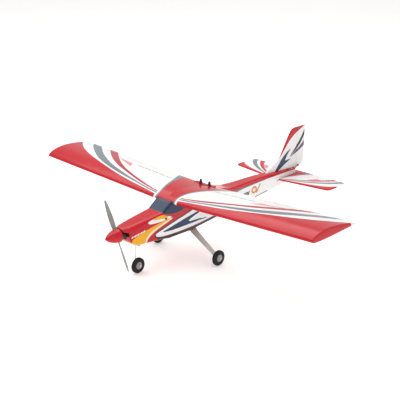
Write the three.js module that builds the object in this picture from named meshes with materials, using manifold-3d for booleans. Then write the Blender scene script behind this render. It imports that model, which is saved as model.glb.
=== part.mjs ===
// High-wing electric trainer aeroplane, built-up and covered, with tricycle gear.
// Millimetres. +X is the port (left) wing, +Y is aft, +Z is up. The origin is on the
// ground, midway along the length and on the plane of symmetry.
import * as THREE from "three";
import { mergeVertices } from "three/addons/utils/BufferGeometryUtils.js";
import Module from "manifold-3d";

const wasm = await Module();
wasm.setup();

// ---------------------------------------------------------------- driving dimensions
const LENGTH = 1293; // spinner tip to rudder trailing edge
const HALF_LENGTH = LENGTH / 2;
const HALF_SPAN = 800;
const THRUST_Z = 200; // height of the propeller shaft

const CHORD = 265; // wing chord
const WING_LE_Y = -308.5;
const WING_TE_Y = WING_LE_Y + CHORD;
const WING_Z = 291; // chord line at the centre
const DIHEDRAL = 2.5; // degrees each side
const THICKNESS = 0.143; // aerofoil thickness / chord
const CAMBER = 0.026; // aerofoil camber / chord
const NOSE_DROP = 9; // how far the section's nose sits below its chord line
const CAMBER_AT = 0.35;
const WING_SKIN = 0.9;
const TIP_LE_X = 783; // leading edge corner of the square tip
const AILERON_IN = 365; // aileron bay, along the panel
const AILERON_OUT = 770;
const AILERON_HINGE_Y = -86;
const AILERON_HINGE_Z = 3; // above the chord line
const HORN_ARM = 17; // hinge line to horn hole, ailerons
const SERVO_ARM = 11; // servo shaft to arm hole

const WALL = 2; // fuselage sheet
const GAP = 0.3; // between neighbouring pieces

const STAB_Z = 210;
const STAB_T = 8;
const STAB_TE_Y = 571.5;
const ELEV_HINGE_Y = 573;
const ELEV_TE_Y = 616.5;
const STAB_HALF = 284;
const FIN_T = 8;
const RUDDER_HINGE_Y = 584.5;
const FIN_TOP_Z = 439;

const WHEEL_R = 34;
const WHEEL_W = 20;
const HUB_R = 15;
const AXLE_R = 2.5;
const MAIN_X = 185; // wheel centre
const MAIN_Y = -166.5;
const STRAP_X = 165; // gear strap at the axle
const STRAP_T = 3;
const NOSE_Y = -466.5;
const NOSE_WIRE = 2; // radius

const PROP_R = 154;
const PROP_PITCH = 165;
const SPINNER_R = 29.5;
const SPINNER_BASE_Y = -577.5;
const PROP_TURN = -26.6; // degrees about the shaft at rest

// ---------------------------------------------------------------- helpers
function solid(g) {
  const bare = g.index ? g.toNonIndexed() : g.clone();
  const pos = new THREE.BufferGeometry().setAttribute(
    "position",
    bare.getAttribute("position"),
  );
  const m = mergeVertices(pos, 1e-4);
  const v = m.attributes.position.array;
  const idx = [];
  const src = m.index.array;
  for (let i = 0; i < src.length; i += 3)
    if (
      src[i] !== src[i + 1] &&
      src[i + 1] !== src[i + 2] &&
      src[i] !== src[i + 2]
    )
      idx.push(src[i], src[i + 1], src[i + 2]);
  let vol = 0;
  for (let i = 0; i < idx.length; i += 3) {
    const a = idx[i] * 3,
      b = idx[i + 1] * 3,
      c = idx[i + 2] * 3;
    vol +=
      v[a] * (v[b + 1] * v[c + 2] - v[b + 2] * v[c + 1]) -
      v[a + 1] * (v[b] * v[c + 2] - v[b + 2] * v[c]) +
      v[a + 2] * (v[b] * v[c + 1] - v[b + 1] * v[c]);
  }
  if (vol < 0)
    for (let i = 0; i < idx.length; i += 3)
      [idx[i + 1], idx[i + 2]] = [idx[i + 2], idx[i + 1]];
  return new wasm.Manifold(
    new wasm.Mesh({
      numProp: 3,
      vertProperties: v,
      triVerts: new Uint32Array(idx),
    }),
  );
}

function geometryOf(s) {
  const m = s.getMesh();
  const n = m.numProp;
  const v = new Float32Array(m.numVert * 3);
  for (let i = 0; i < m.numVert; i++)
    v.set(m.vertProperties.subarray(i * n, i * n + 3), i * 3);
  const g = new THREE.BufferGeometry()
    .setAttribute("position", new THREE.BufferAttribute(v, 3))
    .setIndex(new THREE.BufferAttribute(new Uint32Array(m.triVerts), 1));
  const flat = g.toNonIndexed();
  flat.computeVertexNormals();
  return flat;
}

const join = (...parts) => parts.reduce((a, b) => a.add(b));
const cut = (a, ...parts) => parts.reduce((s, b) => s.subtract(b), a);

function shape(points, holes = []) {
  const s = new THREE.Shape(points.map(([a, b]) => new THREE.Vector2(a, b)));
  for (const h of holes)
    s.holes.push(new THREE.Path(h.map(([a, b]) => new THREE.Vector2(a, b))));
  return s;
}

// A side-view outline (y, z), between two values of x.
function sidePlate(points, x0, x1, holes) {
  const g = new THREE.ExtrudeGeometry(shape(points, holes), {
    depth: x1 - x0,
    bevelEnabled: false,
    curveSegments: 12,
  });
  g.applyMatrix4(
    new THREE.Matrix4().makeBasis(
      new THREE.Vector3(0, 1, 0),
      new THREE.Vector3(0, 0, 1),
      new THREE.Vector3(1, 0, 0),
    ),
  );
  return solid(g.translate(x0, 0, 0));
}

// A front-view outline (x, z), between two values of y.
function frontPlate(points, y0, y1, holes) {
  const g = new THREE.ExtrudeGeometry(shape(points, holes), {
    depth: y1 - y0,
    bevelEnabled: false,
    curveSegments: 12,
  });
  return solid(g.rotateX(Math.PI / 2).translate(0, y1, 0));
}

// A plan-view outline (x, y), between two values of z.
function planPlate(points, z0, z1, holes) {
  const g = new THREE.ExtrudeGeometry(shape(points, holes), {
    depth: z1 - z0,
    bevelEnabled: false,
    curveSegments: 12,
  });
  return solid(g.translate(0, 0, z0));
}

const block = (x0, x1, y0, y1, z0, z1) =>
  solid(
    new THREE.BoxGeometry(x1 - x0, y1 - y0, z1 - z0).translate(
      (x0 + x1) / 2,
      (y0 + y1) / 2,
      (z0 + z1) / 2,
    ),
  );

const rodX = (r, x0, x1, y, z, n = 20) =>
  solid(
    new THREE.CylinderGeometry(r, r, x1 - x0, n)
      .rotateZ(Math.PI / 2)
      .translate((x0 + x1) / 2, y, z),
  );
const rodY = (r, y0, y1, x, z, n = 20) =>
  solid(
    new THREE.CylinderGeometry(r, r, y1 - y0, n).translate(x, (y0 + y1) / 2, z),
  );
const rodZ = (r, z0, z1, x, y, n = 20) =>
  solid(
    new THREE.CylinderGeometry(r, r, z1 - z0, n)
      .rotateX(Math.PI / 2)
      .translate(x, y, (z0 + z1) / 2),
  );

// A round rod between two points.
function rodBetween(a, b, r, n = 8) {
  const A = new THREE.Vector3(...a),
    B = new THREE.Vector3(...b);
  const d = B.clone().sub(A);
  const g = new THREE.CylinderGeometry(r, r, d.length(), n);
  g.applyQuaternion(
    new THREE.Quaternion().setFromUnitVectors(
      new THREE.Vector3(0, 1, 0),
      d.clone().normalize(),
    ),
  );
  const c = A.add(B).multiplyScalar(0.5);
  return solid(g.translate(c.x, c.y, c.z));
}

// A ring of revolution about the y axis; profile is (radius, y).
const turned = (profile, n = 32) =>
  solid(
    new THREE.LatheGeometry(
      profile.map(([r, y]) => new THREE.Vector2(r, y)),
      n,
    ),
  );
const closed = (profile) => [...profile, profile[0]];

// The rounded-rectangle section of the fuselage: 20 points from top centre round by +X.
function section([, w, zb, zt, rb, rt]) {
  const pts = [];
  const arc = (cx, cz, r, a0) => {
    for (let i = 0; i < 4; i++) {
      const a = ((a0 + (90 * i) / 3) * Math.PI) / 180;
      pts.push([cx + r * Math.sin(a), cz + r * Math.cos(a)]);
    }
  };
  const zm = (zt - rt + zb + rb) / 2;
  pts.push([0, zt]);
  arc(w - rt, zt - rt, rt, 0);
  pts.push([w, zm]);
  arc(w - rb, zb + rb, rb, 90);
  pts.push([0, zb]);
  arc(-(w - rb), zb + rb, rb, 180);
  pts.push([-w, zm]);
  arc(-(w - rt), zt - rt, rt, 270);
  return pts;
}

// A skin through a row of sections, made by moving the vertices of a cylinder.
function loft(stations) {
  const rows = stations.length;
  const pts = stations.map(section);
  const n = pts[0].length;
  const g = new THREE.CylinderGeometry(1, 1, 1, n, rows - 1, false);
  const p = g.attributes.position;
  for (let i = 0; i < p.count; i++) {
    const row = rows - 1 - Math.round((0.5 - p.getY(i)) * (rows - 1));
    const y = stations[row][0];
    const r = Math.hypot(p.getX(i), p.getZ(i));
    if (r < 0.5) {
      const [, , zb, zt] = stations[row];
      p.setXYZ(i, 0, y, (zb + zt) / 2);
    } else {
      const k =
        Math.round((Math.atan2(p.getX(i), p.getZ(i)) / (2 * Math.PI)) * n + n) %
        n;
      p.setXYZ(i, pts[row][k][0], y, pts[row][k][1]);
    }
  }
  return solid(g);
}

const root = new THREE.Group();
const finishes = {
  white: { color: 0xf0efec, roughness: 0.35, metalness: 0 },
  red: { color: 0xd8353f, roughness: 0.35, metalness: 0 },
  ply: { color: 0xc9a26b, roughness: 0.7, metalness: 0 },
  black: { color: 0x17181a, roughness: 0.5, metalness: 0 },
  tyre: { color: 0x151515, roughness: 0.85, metalness: 0 },
  hub: { color: 0x9a9c9f, roughness: 0.45, metalness: 0.1 },
  grey: { color: 0x8f918c, roughness: 0.4, metalness: 0 },
  metal: { color: 0xb9b5aa, roughness: 0.35, metalness: 0.9 },
  steel: { color: 0x8c8f94, roughness: 0.3, metalness: 1 },
  blue: { color: 0x2c4f8a, roughness: 0.5, metalness: 0 },
  strap: { color: 0x26282b, roughness: 0.9, metalness: 0 },
};
const mats = Object.fromEntries(
  Object.entries(finishes).map(([k, v]) => [
    k,
    new THREE.MeshStandardMaterial(v),
  ]),
);
function put(name, s, finish, parent = root) {
  const mesh = new THREE.Mesh(geometryOf(s), mats[finish]);
  mesh.name = name;
  parent.add(mesh);
  return mesh;
}

// ---------------------------------------------------------------- aerofoil
const camberAt = (x) =>
  (x < CAMBER_AT
    ? (CAMBER / CAMBER_AT ** 2) * (2 * CAMBER_AT * x - x * x)
    : (CAMBER / (1 - CAMBER_AT) ** 2) *
      (1 - 2 * CAMBER_AT + 2 * CAMBER_AT * x - x * x)) -
  (NOSE_DROP / CHORD) * (1 - x) ** 2;
const halfAt = (x) =>
  5 *
    THICKNESS *
    (0.2969 * Math.sqrt(Math.max(x, 0)) -
      0.126 * x -
      0.3516 * x * x +
      0.2843 * x ** 3 -
      0.1036 * x ** 4) +
  0.0035 * x;
const foilX = (y) => (y - WING_LE_Y) / CHORD;
const upperZ = (y) =>
  CHORD * (camberAt(foilX(y)) + halfAt(foilX(y)));
const lowerZ = (y) =>
  CHORD * (camberAt(foilX(y)) - halfAt(foilX(y)));
const FOIL_X = [
  0, 0.006, 0.02, 0.045, 0.085, 0.14, 0.21, 0.3, 0.4, 0.5, 0.6, 0.7, 0.8, 0.9,
  1,
];
const foilY = (x) => WING_LE_Y + CHORD * x;
const foilOutline = [
  ...FOIL_X.map((x) => [foilY(x), upperZ(foilY(x))]),
  ...FOIL_X.slice(1)
    .reverse()
    .map((x) => [foilY(x), lowerZ(foilY(x))]),
];
// A hollow bay of the section between two chordwise stations.
function bay(x0, x1, skin = WING_SKIN) {
  const xs = [x0, ...FOIL_X.filter((x) => x > x0 + 0.01 && x < x1 - 0.01), x1];
  return [
    ...xs.map((x) => [foilY(x), upperZ(foilY(x)) - skin]),
    ...xs.reverse().map((x) => [foilY(x), lowerZ(foilY(x)) + skin]),
  ];
}
const wingMatrix = (side) =>
  new THREE.Matrix4()
    .makeTranslation(0, 0, WING_Z)
    .multiply(
      new THREE.Matrix4().makeRotationY((-side * DIHEDRAL * Math.PI) / 180),
    );
const COSD = Math.cos((DIHEDRAL * Math.PI) / 180);
// Moves a solid made in a wing panel's own frame (x along the panel, z off the chord line).
function onWing(s, side) {
  return solid(geometryOf(s).applyMatrix4(wingMatrix(side)));
}
// An outline (y, z) between two distances along the panel, on either side.
const alongWing = (points, a, b, side, holes) =>
  side > 0 ? sidePlate(points, a, b, holes) : sidePlate(points, -b, -a, holes);
const wingBlock = (a, b, y0, y1, z0, z1, side) =>
  side > 0 ? block(a, b, y0, y1, z0, z1) : block(-b, -a, y0, y1, z0, z1);

// ---------------------------------------------------------------- fuselage stations
// y, half width, bottom z, top z, bottom corner radius, top corner radius
const STATIONS = [
  [-545.5, 38, 191, 233.5, 10, 20],
  [-538.5, 38.8, 170, 234.3, 14, 19.5],
  [-530.5, 39.5, 160.5, 235.2, 14, 19],
  [-520.5, 40.3, 151.5, 236.4, 14, 18.5],
  [-505.5, 41.4, 145, 238.4, 14, 18],
  [-493.5, 42.2, 142.5, 240, 13, 17.5],
  [-456.5, 44, 140.5, 244.6, 12, 16],
  [-381.5, 46.3, 136, 253.6, 10, 14],
  [-363, 46.8, 134, 256, 10, 13],
  [-323.5, 47, 128, 284.5, 10, 12],
  [-310, 47, 128, 291, 10, 10],
  [-269.5, 47, 128, 305, 10, 8],
  [-195.5, 47, 128, 305, 10, 8],
  [-107.5, 46.6, 137, 300, 10, 8],
  [-43.5, 45, 142.5, 289, 10, 7],
  [36.5, 41, 148, 267, 9, 6],
  [81.5, 37.5, 151, 256.5, 8, 6],
  [120, 33.5, 153, 255.3, 8, 6],
  [160, 30.5, 155.5, 255, 8, 6],
  [236.5, 27, 161.3, 255, 7, 5],
  [356.5, 22, 171, 252.5, 6, 5],
  [416.5, 20, 176, 249.5, 6, 5],
  [476.5, 18, 181, 246, 5, 4],
  [536.5, 15.3, 189.5, 243, 4.5, 4],
  [569.5, 14, 195, 241, 4, 4],
];
// The inside of the sheet; the chin needs a deeper offset where it turns up.
const CHIN = { "-545.5": 5, "-538.5": 6.2, "-530.5": 5, "-520.5": 4.2, "-505.5": 3.2 };
const inset = (d) => (s) => {
  const [y, w, zb, zt, rb, rt] = s;
  const chin = CHIN[String(y)] || WALL;
  return [
    y,
    w - d,
    zb + chin + (d - WALL),
    zt - d,
    Math.max(rb - d, 1),
    Math.max(rt - d, 1),
  ];
};
const ends = (list, front, back) => {
  const a = list[0],
    b = list[list.length - 1];
  return [[a[0] + front, ...a.slice(1)], ...list, [b[0] + back, ...b.slice(1)]];
};
const bottomAt = (y) => {
  for (let i = 1; i < STATIONS.length; i++)
    if (y <= STATIONS[i][0]) {
      const [a, b] = [STATIONS[i - 1], STATIONS[i]];
      return a[2] + ((b[2] - a[2]) * (y - a[0])) / (b[0] - a[0]);
    }
  return STATIONS[STATIONS.length - 1][2];
};

const outerSkin = loft(STATIONS);
const innerSkin = loft(ends(STATIONS.map(inset(WALL)), -2, 2));
const shell = cut(outerSkin, innerSkin);

// Side-view regions that divide the shell into its pieces.
const above = (line, top = 420) => [
  ...line,
  [line[line.length - 1][0], top],
  [line[0][0], top],
];
const below = (line, bottom = 60) => [
  ...line,
  [line[line.length - 1][0], bottom],
  [line[0][0], bottom],
];
const shiftLine = (line, dz) => line.map(([y, z]) => [y, z + dz]);
const stretch = (line, d0, d1) => [
  ...(d0 ? [[line[0][0] + d0, line[0][1]]] : []),
  ...line,
  ...(d1 ? [[line[line.length - 1][0] + d1, line[line.length - 1][1]]] : []),
];
const slab = (points) => sidePlate(points, -75, 75);

const bottomLine = STATIONS.map(([y, , zb, , rb]) => [y, zb + rb - 1]);
const hatchLine = [
  [-449.2, 228],
  [-360, 243],
  [-310, 243],
];
const cowlLine = [
  [-545.5, 203.3],
  [-449.8, 228.3],
];
const deckLine = [
  [-43.1, 262],
  [81.5, 240],
  [120, 236.5],
  [300, 236],
  [540, 234],
  [569.5, 233],
];
const saddleLine = FOIL_X.map((x) => [foilY(x), WING_Z + lowerZ(foilY(x)) - 0.6]);
saddleLine[0] = [WING_LE_Y - 1, WING_Z - NOSE_DROP];
saddleLine[saddleLine.length - 1][0] += 0.8;

const bottomRegion = slab(below(stretch(bottomLine, -3, 3)));
const bottomClear = slab(below(stretch(shiftLine(bottomLine, GAP), -3, 3)));
const hatchRegion = slab(above(hatchLine));
const hatchClear = slab(above(stretch(shiftLine(hatchLine, -GAP), -GAP, 1.2)));
const cowlClear = slab(above(stretch(shiftLine(cowlLine, -GAP), -3, 0.9)));
const deckRegion = slab(above(stretch(deckLine, 0, 3)));
const deckClear = slab(above(stretch(shiftLine(deckLine, -GAP), -GAP - 0.2, 3)));
const saddle = slab(above(saddleLine));

// Slot for the tailplane, open aft, and slots where the two long pushrods come out.
const stabSlot = block(-60, 60, 433.8, 600, STAB_Z - STAB_T / 2 - GAP, STAB_Z + STAB_T / 2 + GAP);
const finSlot = block(-FIN_T / 2 - GAP, FIN_T / 2 + GAP, 435.4, 600, STAB_Z, 300);
const rudderRodSlot = block(8, 24, 452, 552, 236.2, 256);
const elevatorRodSlot = block(-26, -12, 388, 520, 187.5, 197.5);
const latchHole = rodX(4.9, 30, 60, -347.5, 225, 14);

// ---------------------------------------------------------------- fuselage pieces
{
  const sides = cut(
    shell,
    bottomClear,
    hatchClear,
    cowlClear,
    deckClear,
    saddle,
    stabSlot,
    rudderRodSlot,
    elevatorRodSlot,
    latchHole,
  );
  put(
    "fuselage_side_left",
    sides.intersect(block(2, 80, -700, 700, 0, 500)),
    "white",
  );
  put(
    "fuselage_side_right",
    sides.intersect(block(-80, -2, -700, 700, 0, 500)),
    "white",
  );
  put(
    "fuselage_bottom",
    cut(
      shell.intersect(bottomRegion),
      rodZ(7, 130, 170, 0, NOSE_Y, 20), // the nose leg comes out here
      elevatorRodSlot,
    ),
    "white",
  );
  put(
    "rear_top_deck",
    cut(shell.intersect(deckRegion), finSlot, rudderRodSlot),
    "red",
  );
  put("battery_hatch", cut(shell.intersect(hatchRegion), saddle), "red");
}
{
  // Upper half cowl: the round front grows back into the fuselage's section.
  const front = [
    [-572.2, 31.6, 150, 231.6, 20, 30.5],
    [-560, 35, 150, 232.5, 14, 25],
  ];
  const back = STATIONS.slice(0, 8).map(([y, w, , zt, , rt]) => [
    y,
    w,
    150,
    zt,
    14,
    rt,
  ]);
  const list = [...front, ...back];
  const outer = loft(list);
  const inner = loft(
    ends(
      list.map(([y, w, zb, zt, rb, rt]) => [
        y,
        w - WALL,
        zb + WALL,
        zt - WALL,
        rb - WALL,
        rt - WALL,
      ]),
      -3,
      3,
    ),
  );
  const line = [
    [-575, 221],
    [-566, 217.5],
    [-549.5, 211.5],
    ...cowlLine,
  ];
  put("nose_cowl", cut(outer, inner).intersect(slab(above(line))), "red");
}
put(
  "firewall",
  cut(
    loft(ends(STATIONS.map(inset(WALL + GAP)), -2, 2)).intersect(
      block(-60, 60, -545.2, -540.2, 100, 300),
    ),
    rodY(7, -560, -530, 0, THRUST_Z, 24),
  ),
  "ply",
);

// ---------------------------------------------------------------- trays and radio gear
{
  const profile = [
    [-438, 188],
    [-257, 188],
    [-257, 165],
    [-84, 165],
    [-84, 168],
    [-254, 168],
    [-254, 191],
    [-438, 191],
  ];
  const tray = sidePlate(profile, -40.6, 40.6);
  put(
    "equipment_tray",
    cut(
      tray,
      block(17, 35, -262, -250, 178, 187.4), // steering rod passes the step
      block(9.4, 30.6, -171, -128, 150, 200), // servo openings
      block(-30.6, -9.4, -171, -128, 150, 200),
    ),
    "ply",
  );
}
const SERVO_Y = -140; // output shaft
function servo(x) {
  return join(
    block(x - 10, x + 10, -170.4, -128.6, 147, 175),
    block(x - 10, x + 10, -177, -122, 168.4, 171),
    rodZ(6, 174, 178, x, SERVO_Y, 20),
  );
}
put("rudder_servo", servo(20), "black");
put("elevator_servo", servo(-20), "black");
put("battery_pack", block(-23, 23, -432, -290, 191.4, 222), "blue");
{
  // Strap round the pack and through under the tray's edge.
  const strap = frontPlate(
    [
      [-25, 191.4],
      [-25, 223.8],
      [25, 223.8],
      [25, 191.4],
      [23.4, 191.4],
      [23.4, 222.3],
      [-23.4, 222.3],
      [-23.4, 191.4],
    ],
    -372,
    -352,
  );
  put("battery_strap", strap, "strap");
}
put("speed_controller", block(-30, 2, -526, -481, 174, 186), "blue");
put("receiver", block(-14, 14, -72, -26, 152.5, 166), "grey");

// ---------------------------------------------------------------- wing
for (const [word, side] of [
  ["left", 1],
  ["right", -1],
]) {
  const L = HALF_SPAN / COSD;
  const tipPlan = [
    [-60, WING_LE_Y - 20],
    [TIP_LE_X / COSD - 1.3, WING_LE_Y - 20],
    [L + 1.3, WING_TE_Y + 20],
    [-60, WING_TE_Y + 20],
  ].map(([x, y]) => [side * x, y]);
  const body = alongWing(foilOutline, -20, L + 10, side).intersect(
    planPlate(tipPlan, -80, 80),
  );
  const hollow = (a, b) => alongWing(bay(a, b), -25, 780, side);
  let panel = cut(
    body,
    hollow(0.03, 0.287),
    hollow(0.297, 0.823),
    alongWing(bay(0.836, 0.95), -25, AILERON_IN - 4, side),
    wingBlock(AILERON_IN, AILERON_OUT, AILERON_HINGE_Y - 2, -20, -30, 30, side),
    wingBlock(382.5, 413, -197, -161, -30, 11, side), // aileron servo pocket
  );
  panel = onWing(panel, side);
  panel = cut(
    panel,
    side > 0 ? block(-60, 0.2, -500, 100, 100, 500) : block(-0.2, 60, -500, 100, 100, 500),
    rodZ(3.3, 250, 330, side * 26, -58, 10),
  );
  put("wing_panel_" + word, panel, "white");

  // Aileron: the trailing part of the section.
  const ys = [-84.5, foilY(0.9), WING_TE_Y];
  const flap = [
    ...ys.map((y) => [y, upperZ(y)]),
    ...ys.reverse().map((y) => [y, lowerZ(y)]),
  ];
  put(
    "aileron_" + word,
    onWing(
      cut(
        alongWing(flap, AILERON_IN + 1, AILERON_OUT - 1, side),
        alongWing(bay(0.86, 0.95, 1.1), AILERON_IN + 6, AILERON_OUT - 6, side),
        wingBlock(560, 566, -90, -78, 2, 5, side), // opening in the hinge face
      ),
      side,
    ),
    "red",
  );
  // Horn under the aileron, its hole on the hinge line's plumb.
  const hz = AILERON_HINGE_Z - HORN_ARM;
  const hornOutline = [
    [-82, lowerZ(-82) - GAP],
    [-68, lowerZ(-68) - GAP],
    [-68, lowerZ(-68) - 2],
    [-82.6, hz - 3.2],
    [-88.2, hz - 3.2],
    [-89.2, hz],
    [-87.5, hz + 3],
    [-83.5, lowerZ(-82) - 3],
  ];
  put(
    "aileron_horn_" + word,
    onWing(
      cut(
        alongWing(hornOutline, 384, 386, side),
        side > 0
          ? rodX(0.9, 380, 390, AILERON_HINGE_Y, hz, 6)
          : rodX(0.9, -390, -380, AILERON_HINGE_Y, hz, 6),
      ),
      side,
    ),
    "black",
  );
  // Servo on its side in the lower skin, arm down.
  const sz = hz + SERVO_ARM;
  put(
    "aileron_servo_" + word,
    onWing(
      join(
        wingBlock(388.5, 412.3, -196, -162, -9.6, 9.5, side),
        side > 0
          ? rodX(3, 386.5, 389, -179, sz, 16)
          : rodX(3, -389, -386.5, -179, sz, 16),
      ),
      side,
    ),
    "black",
  );
  const arm = [
    [-182.5, sz],
    [-181.8, sz + 3],
    [-179, sz + 4.2],
    [-176.2, sz + 3],
    [-175.5, sz],
    [-176.6, hz - 1],
    [-177.6, hz - 2.8],
    [-179, hz - 3.3],
    [-180.4, hz - 2.8],
    [-181.4, hz - 1],
  ];
  put(
    "aileron_servo_arm_" + word,
    onWing(
      cut(
        alongWing(arm, 384, 386, side),
        side > 0
          ? rodX(0.9, 380, 390, -179, hz, 6)
          : rodX(0.9, -390, -380, -179, hz, 6),
      ),
      side,
    ),
    "white",
  );
  const rx = 386 + 0.5 + 1.2;
  put(
    "aileron_pushrod_" + word,
    onWing(
      rodBetween([side * rx, -182, hz], [side * rx, AILERON_HINGE_Y + 3, hz], 1.2),
      side,
    ),
    "steel",
  );
}
{
  const half = (side) =>
    onWing(wingBlock(-4, 150, -220, -210, -2, 6, side), side);
  put("wing_joiner", join(half(1), half(-1)), "metal");
  const barHalf = (side) => {
    const low = [-66, -58, -50].map((y) => [y, upperZ(y) + 0.6]);
    const high = [-50, -66].map((y) => [y, upperZ(-66) + 2.2]);
    return onWing(alongWing([...low, ...high], -3, 58, side), side);
  };
  put(
    "wing_bolt_plate",
    cut(
      join(barHalf(1), barHalf(-1)),
      rodZ(3.3, 280, 320, 26, -58, 10),
      rodZ(3.3, 280, 320, -26, -58, 10),
    ),
    "red",
  );
  put(
    "wing_mount_block",
    cut(
      block(-41.5, 41.5, -76, -45, 268, 283),
      rodZ(3.3, 250, 330, 26, -58, 10),
      rodZ(3.3, 250, 330, -26, -58, 10),
    ),
    "ply",
  );
  const headZ =
    WING_Z + upperZ(-66) + 2.6 + 33.6 * Math.sin((DIHEDRAL * Math.PI) / 180);
  for (const [word, side] of [
    ["left", 1],
    ["right", -1],
  ])
    put(
      "wing_bolt_" + word,
      solid(
        new THREE.LatheGeometry(
          [
            [0, 264],
            [2.2, 264],
            [3, 265.5],
            [3, headZ],
            [7.6, headZ],
            [7.2, headZ + 3.6],
            [5.2, headZ + 13],
            [4.2, headZ + 15.6],
            [0, headZ + 16.2],
          ].map(([r, z]) => new THREE.Vector2(r, z)),
          12,
        )
          .rotateX(Math.PI / 2)
          .translate(side * 26, -58, 0),
      ),
      "black",
    );
}

// ---------------------------------------------------------------- tail
{
  const half = [
    [0, 434.5],
    [26, 434.5],
    [262, 470.5],
    [274, 474],
    [281.5, 480],
    [STAB_HALF, 489],
    [STAB_HALF, STAB_TE_Y],
  ];
  const outline = [...half, ...half.map(([x, y]) => [-x, y]).reverse()];
  outline.splice(
    outline.findIndex(([x]) => x === 0 || Object.is(x, -0)),
    1,
  );
  // Built up: thin sheet over an open middle, vented inside the fuselage.
  const hHalf = [
    [0, 442],
    [25, 442],
    [260, 478],
    [272, 483],
    [277, 491],
    [277, STAB_TE_Y - 9],
  ];
  const hollow = [...hHalf, ...hHalf.slice(1).map(([x, y]) => [-x, y]).reverse()];
  put(
    "horizontal_stabilizer",
    cut(
      planPlate(outline, STAB_Z - STAB_T / 2, STAB_Z + STAB_T / 2),
      planPlate(hollow, STAB_Z - 3.1, STAB_Z + 3.1),
      block(-9, -5.5, 490, 520, STAB_Z, STAB_Z + 10),
    ),
    "white",
  );

  const eHalf = [
    [STAB_HALF, ELEV_HINGE_Y + 1.5],
    [STAB_HALF, 596.5],
    [281, 604],
    [272, ELEV_TE_Y],
  ];
  const eOutline = [...eHalf, ...eHalf.map(([x, y]) => [-x, y]).reverse()];
  const wedge = [
    [ELEV_HINGE_Y + 1.5, STAB_Z - 2.6],
    [ELEV_HINGE_Y + 3, STAB_Z - 3.75],
    [ELEV_TE_Y + 1, STAB_Z - 1.5],
    [ELEV_TE_Y + 1, STAB_Z + 1.5],
    [ELEV_HINGE_Y + 3, STAB_Z + 3.75],
    [ELEV_HINGE_Y + 1.5, STAB_Z + 2.6],
  ];
  put(
    "elevator",
    cut(
      planPlate(eOutline, STAB_Z - 5, STAB_Z + 5).intersect(
        sidePlate(wedge, -300, 300),
      ),
      sidePlate(
        [
          [578, STAB_Z - 2.5],
          [604, STAB_Z - 1.1],
          [604, STAB_Z + 1.1],
          [578, STAB_Z + 2.5],
        ],
        -276,
        276,
      ),
      block(-3, 3, 570, 580, STAB_Z - 1, STAB_Z + 1), // opening in the hinge face
    ),
    "red",
  );
  put(
    "elevator_horn",
    cut(
      sidePlate(
        [
          [578, 205.8],
          [592, 205.4],
          [592, 203.6],
          [577.2, 190.8],
          [571.5, 190.6],
          [570, 194],
          [571.5, 196.8],
          [576, 201],
        ],
        -23.7,
        -21.7,
      ),
      rodX(0.9, -30, -15, ELEV_HINGE_Y, 194, 6),
    ),
    "black",
  );

  const finOutline = [
    [359.5, 253.2],
    [435.8, 249.6],
    [435.8, STAB_Z + STAB_T / 2 + 0.6],
    [568.5, STAB_Z + STAB_T / 2 + 0.6],
    [568.5, 227],
    [RUDDER_HINGE_Y - 1.5, 227],
    [RUDDER_HINGE_Y - 1.5, FIN_TOP_Z],
    [572, FIN_TOP_Z],
    [556, 437.5],
    [541, 430.5],
    [526, 412],
    [504.5, 380],
    [480, 341],
    [466, 319],
    [452, 303.5],
    [405, 279],
  ];
  put(
    "vertical_fin",
    cut(
      sidePlate(finOutline, -FIN_T / 2, FIN_T / 2),
      slab([
        // the lower edge clears the deck's skin ahead of the tab
        [350, 200],
        [350, 253.1],
        [416.5, 249.9],
        [435.7, 248.8],
        [435.7, 200],
      ]),
      sidePlate(
        [
          [450, 222],
          [560, 222],
          [560, 232],
          [576, 232],
          [576, 430],
          [560, 430],
          [545, 421],
          [532, 405],
          [512, 374],
          [487, 334],
          [470, 308],
          [455, 292],
          [450, 285],
        ],
        -3.1,
        3.1,
      ),
      block(0, 10, 480, 500, 222, 234), // opening into the hollow, inside the fuselage
    ),
    "white",
  );
  const rOutline = [
    [RUDDER_HINGE_Y + 1.5, 229],
    [641.5, 248],
    [643.5, 251],
    [HALF_LENGTH, 434],
    [644, FIN_TOP_Z],
    [RUDDER_HINGE_Y + 1.5, FIN_TOP_Z],
  ];
  const rWedge = [
    [2.6, RUDDER_HINGE_Y + 1.5],
    [3.75, RUDDER_HINGE_Y + 3],
    [1.5, HALF_LENGTH + 1],
    [-1.5, HALF_LENGTH + 1],
    [-3.75, RUDDER_HINGE_Y + 3],
    [-2.6, RUDDER_HINGE_Y + 1.5],
  ];
  put(
    "rudder",
    cut(
      sidePlate(rOutline, -5, 5).intersect(planPlate(rWedge, 200, 460)),
      planPlate(
        [
          [2.5, 590],
          [1.1, 632],
          [-1.1, 632],
          [-2.5, 590],
        ],
        254,
        432,
      ),
      block(-1, 1, 580, 592, 300, 306), // opening in the hinge face
    ),
    "white",
  );
  put(
    "rudder_horn",
    cut(
      planPlate(
        [
          [4.2, 589],
          [4.0, 603],
          [5.8, 603],
          [17.8, 588],
          [18.4, 583.5],
          [15, 581.4],
          [12, 583],
          [8.2, 587.2],
        ],
        246,
        248,
      ),
      rodZ(0.9, 240, 252, 15, RUDDER_HINGE_Y, 6),
    ),
    "black",
  );
}

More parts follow.
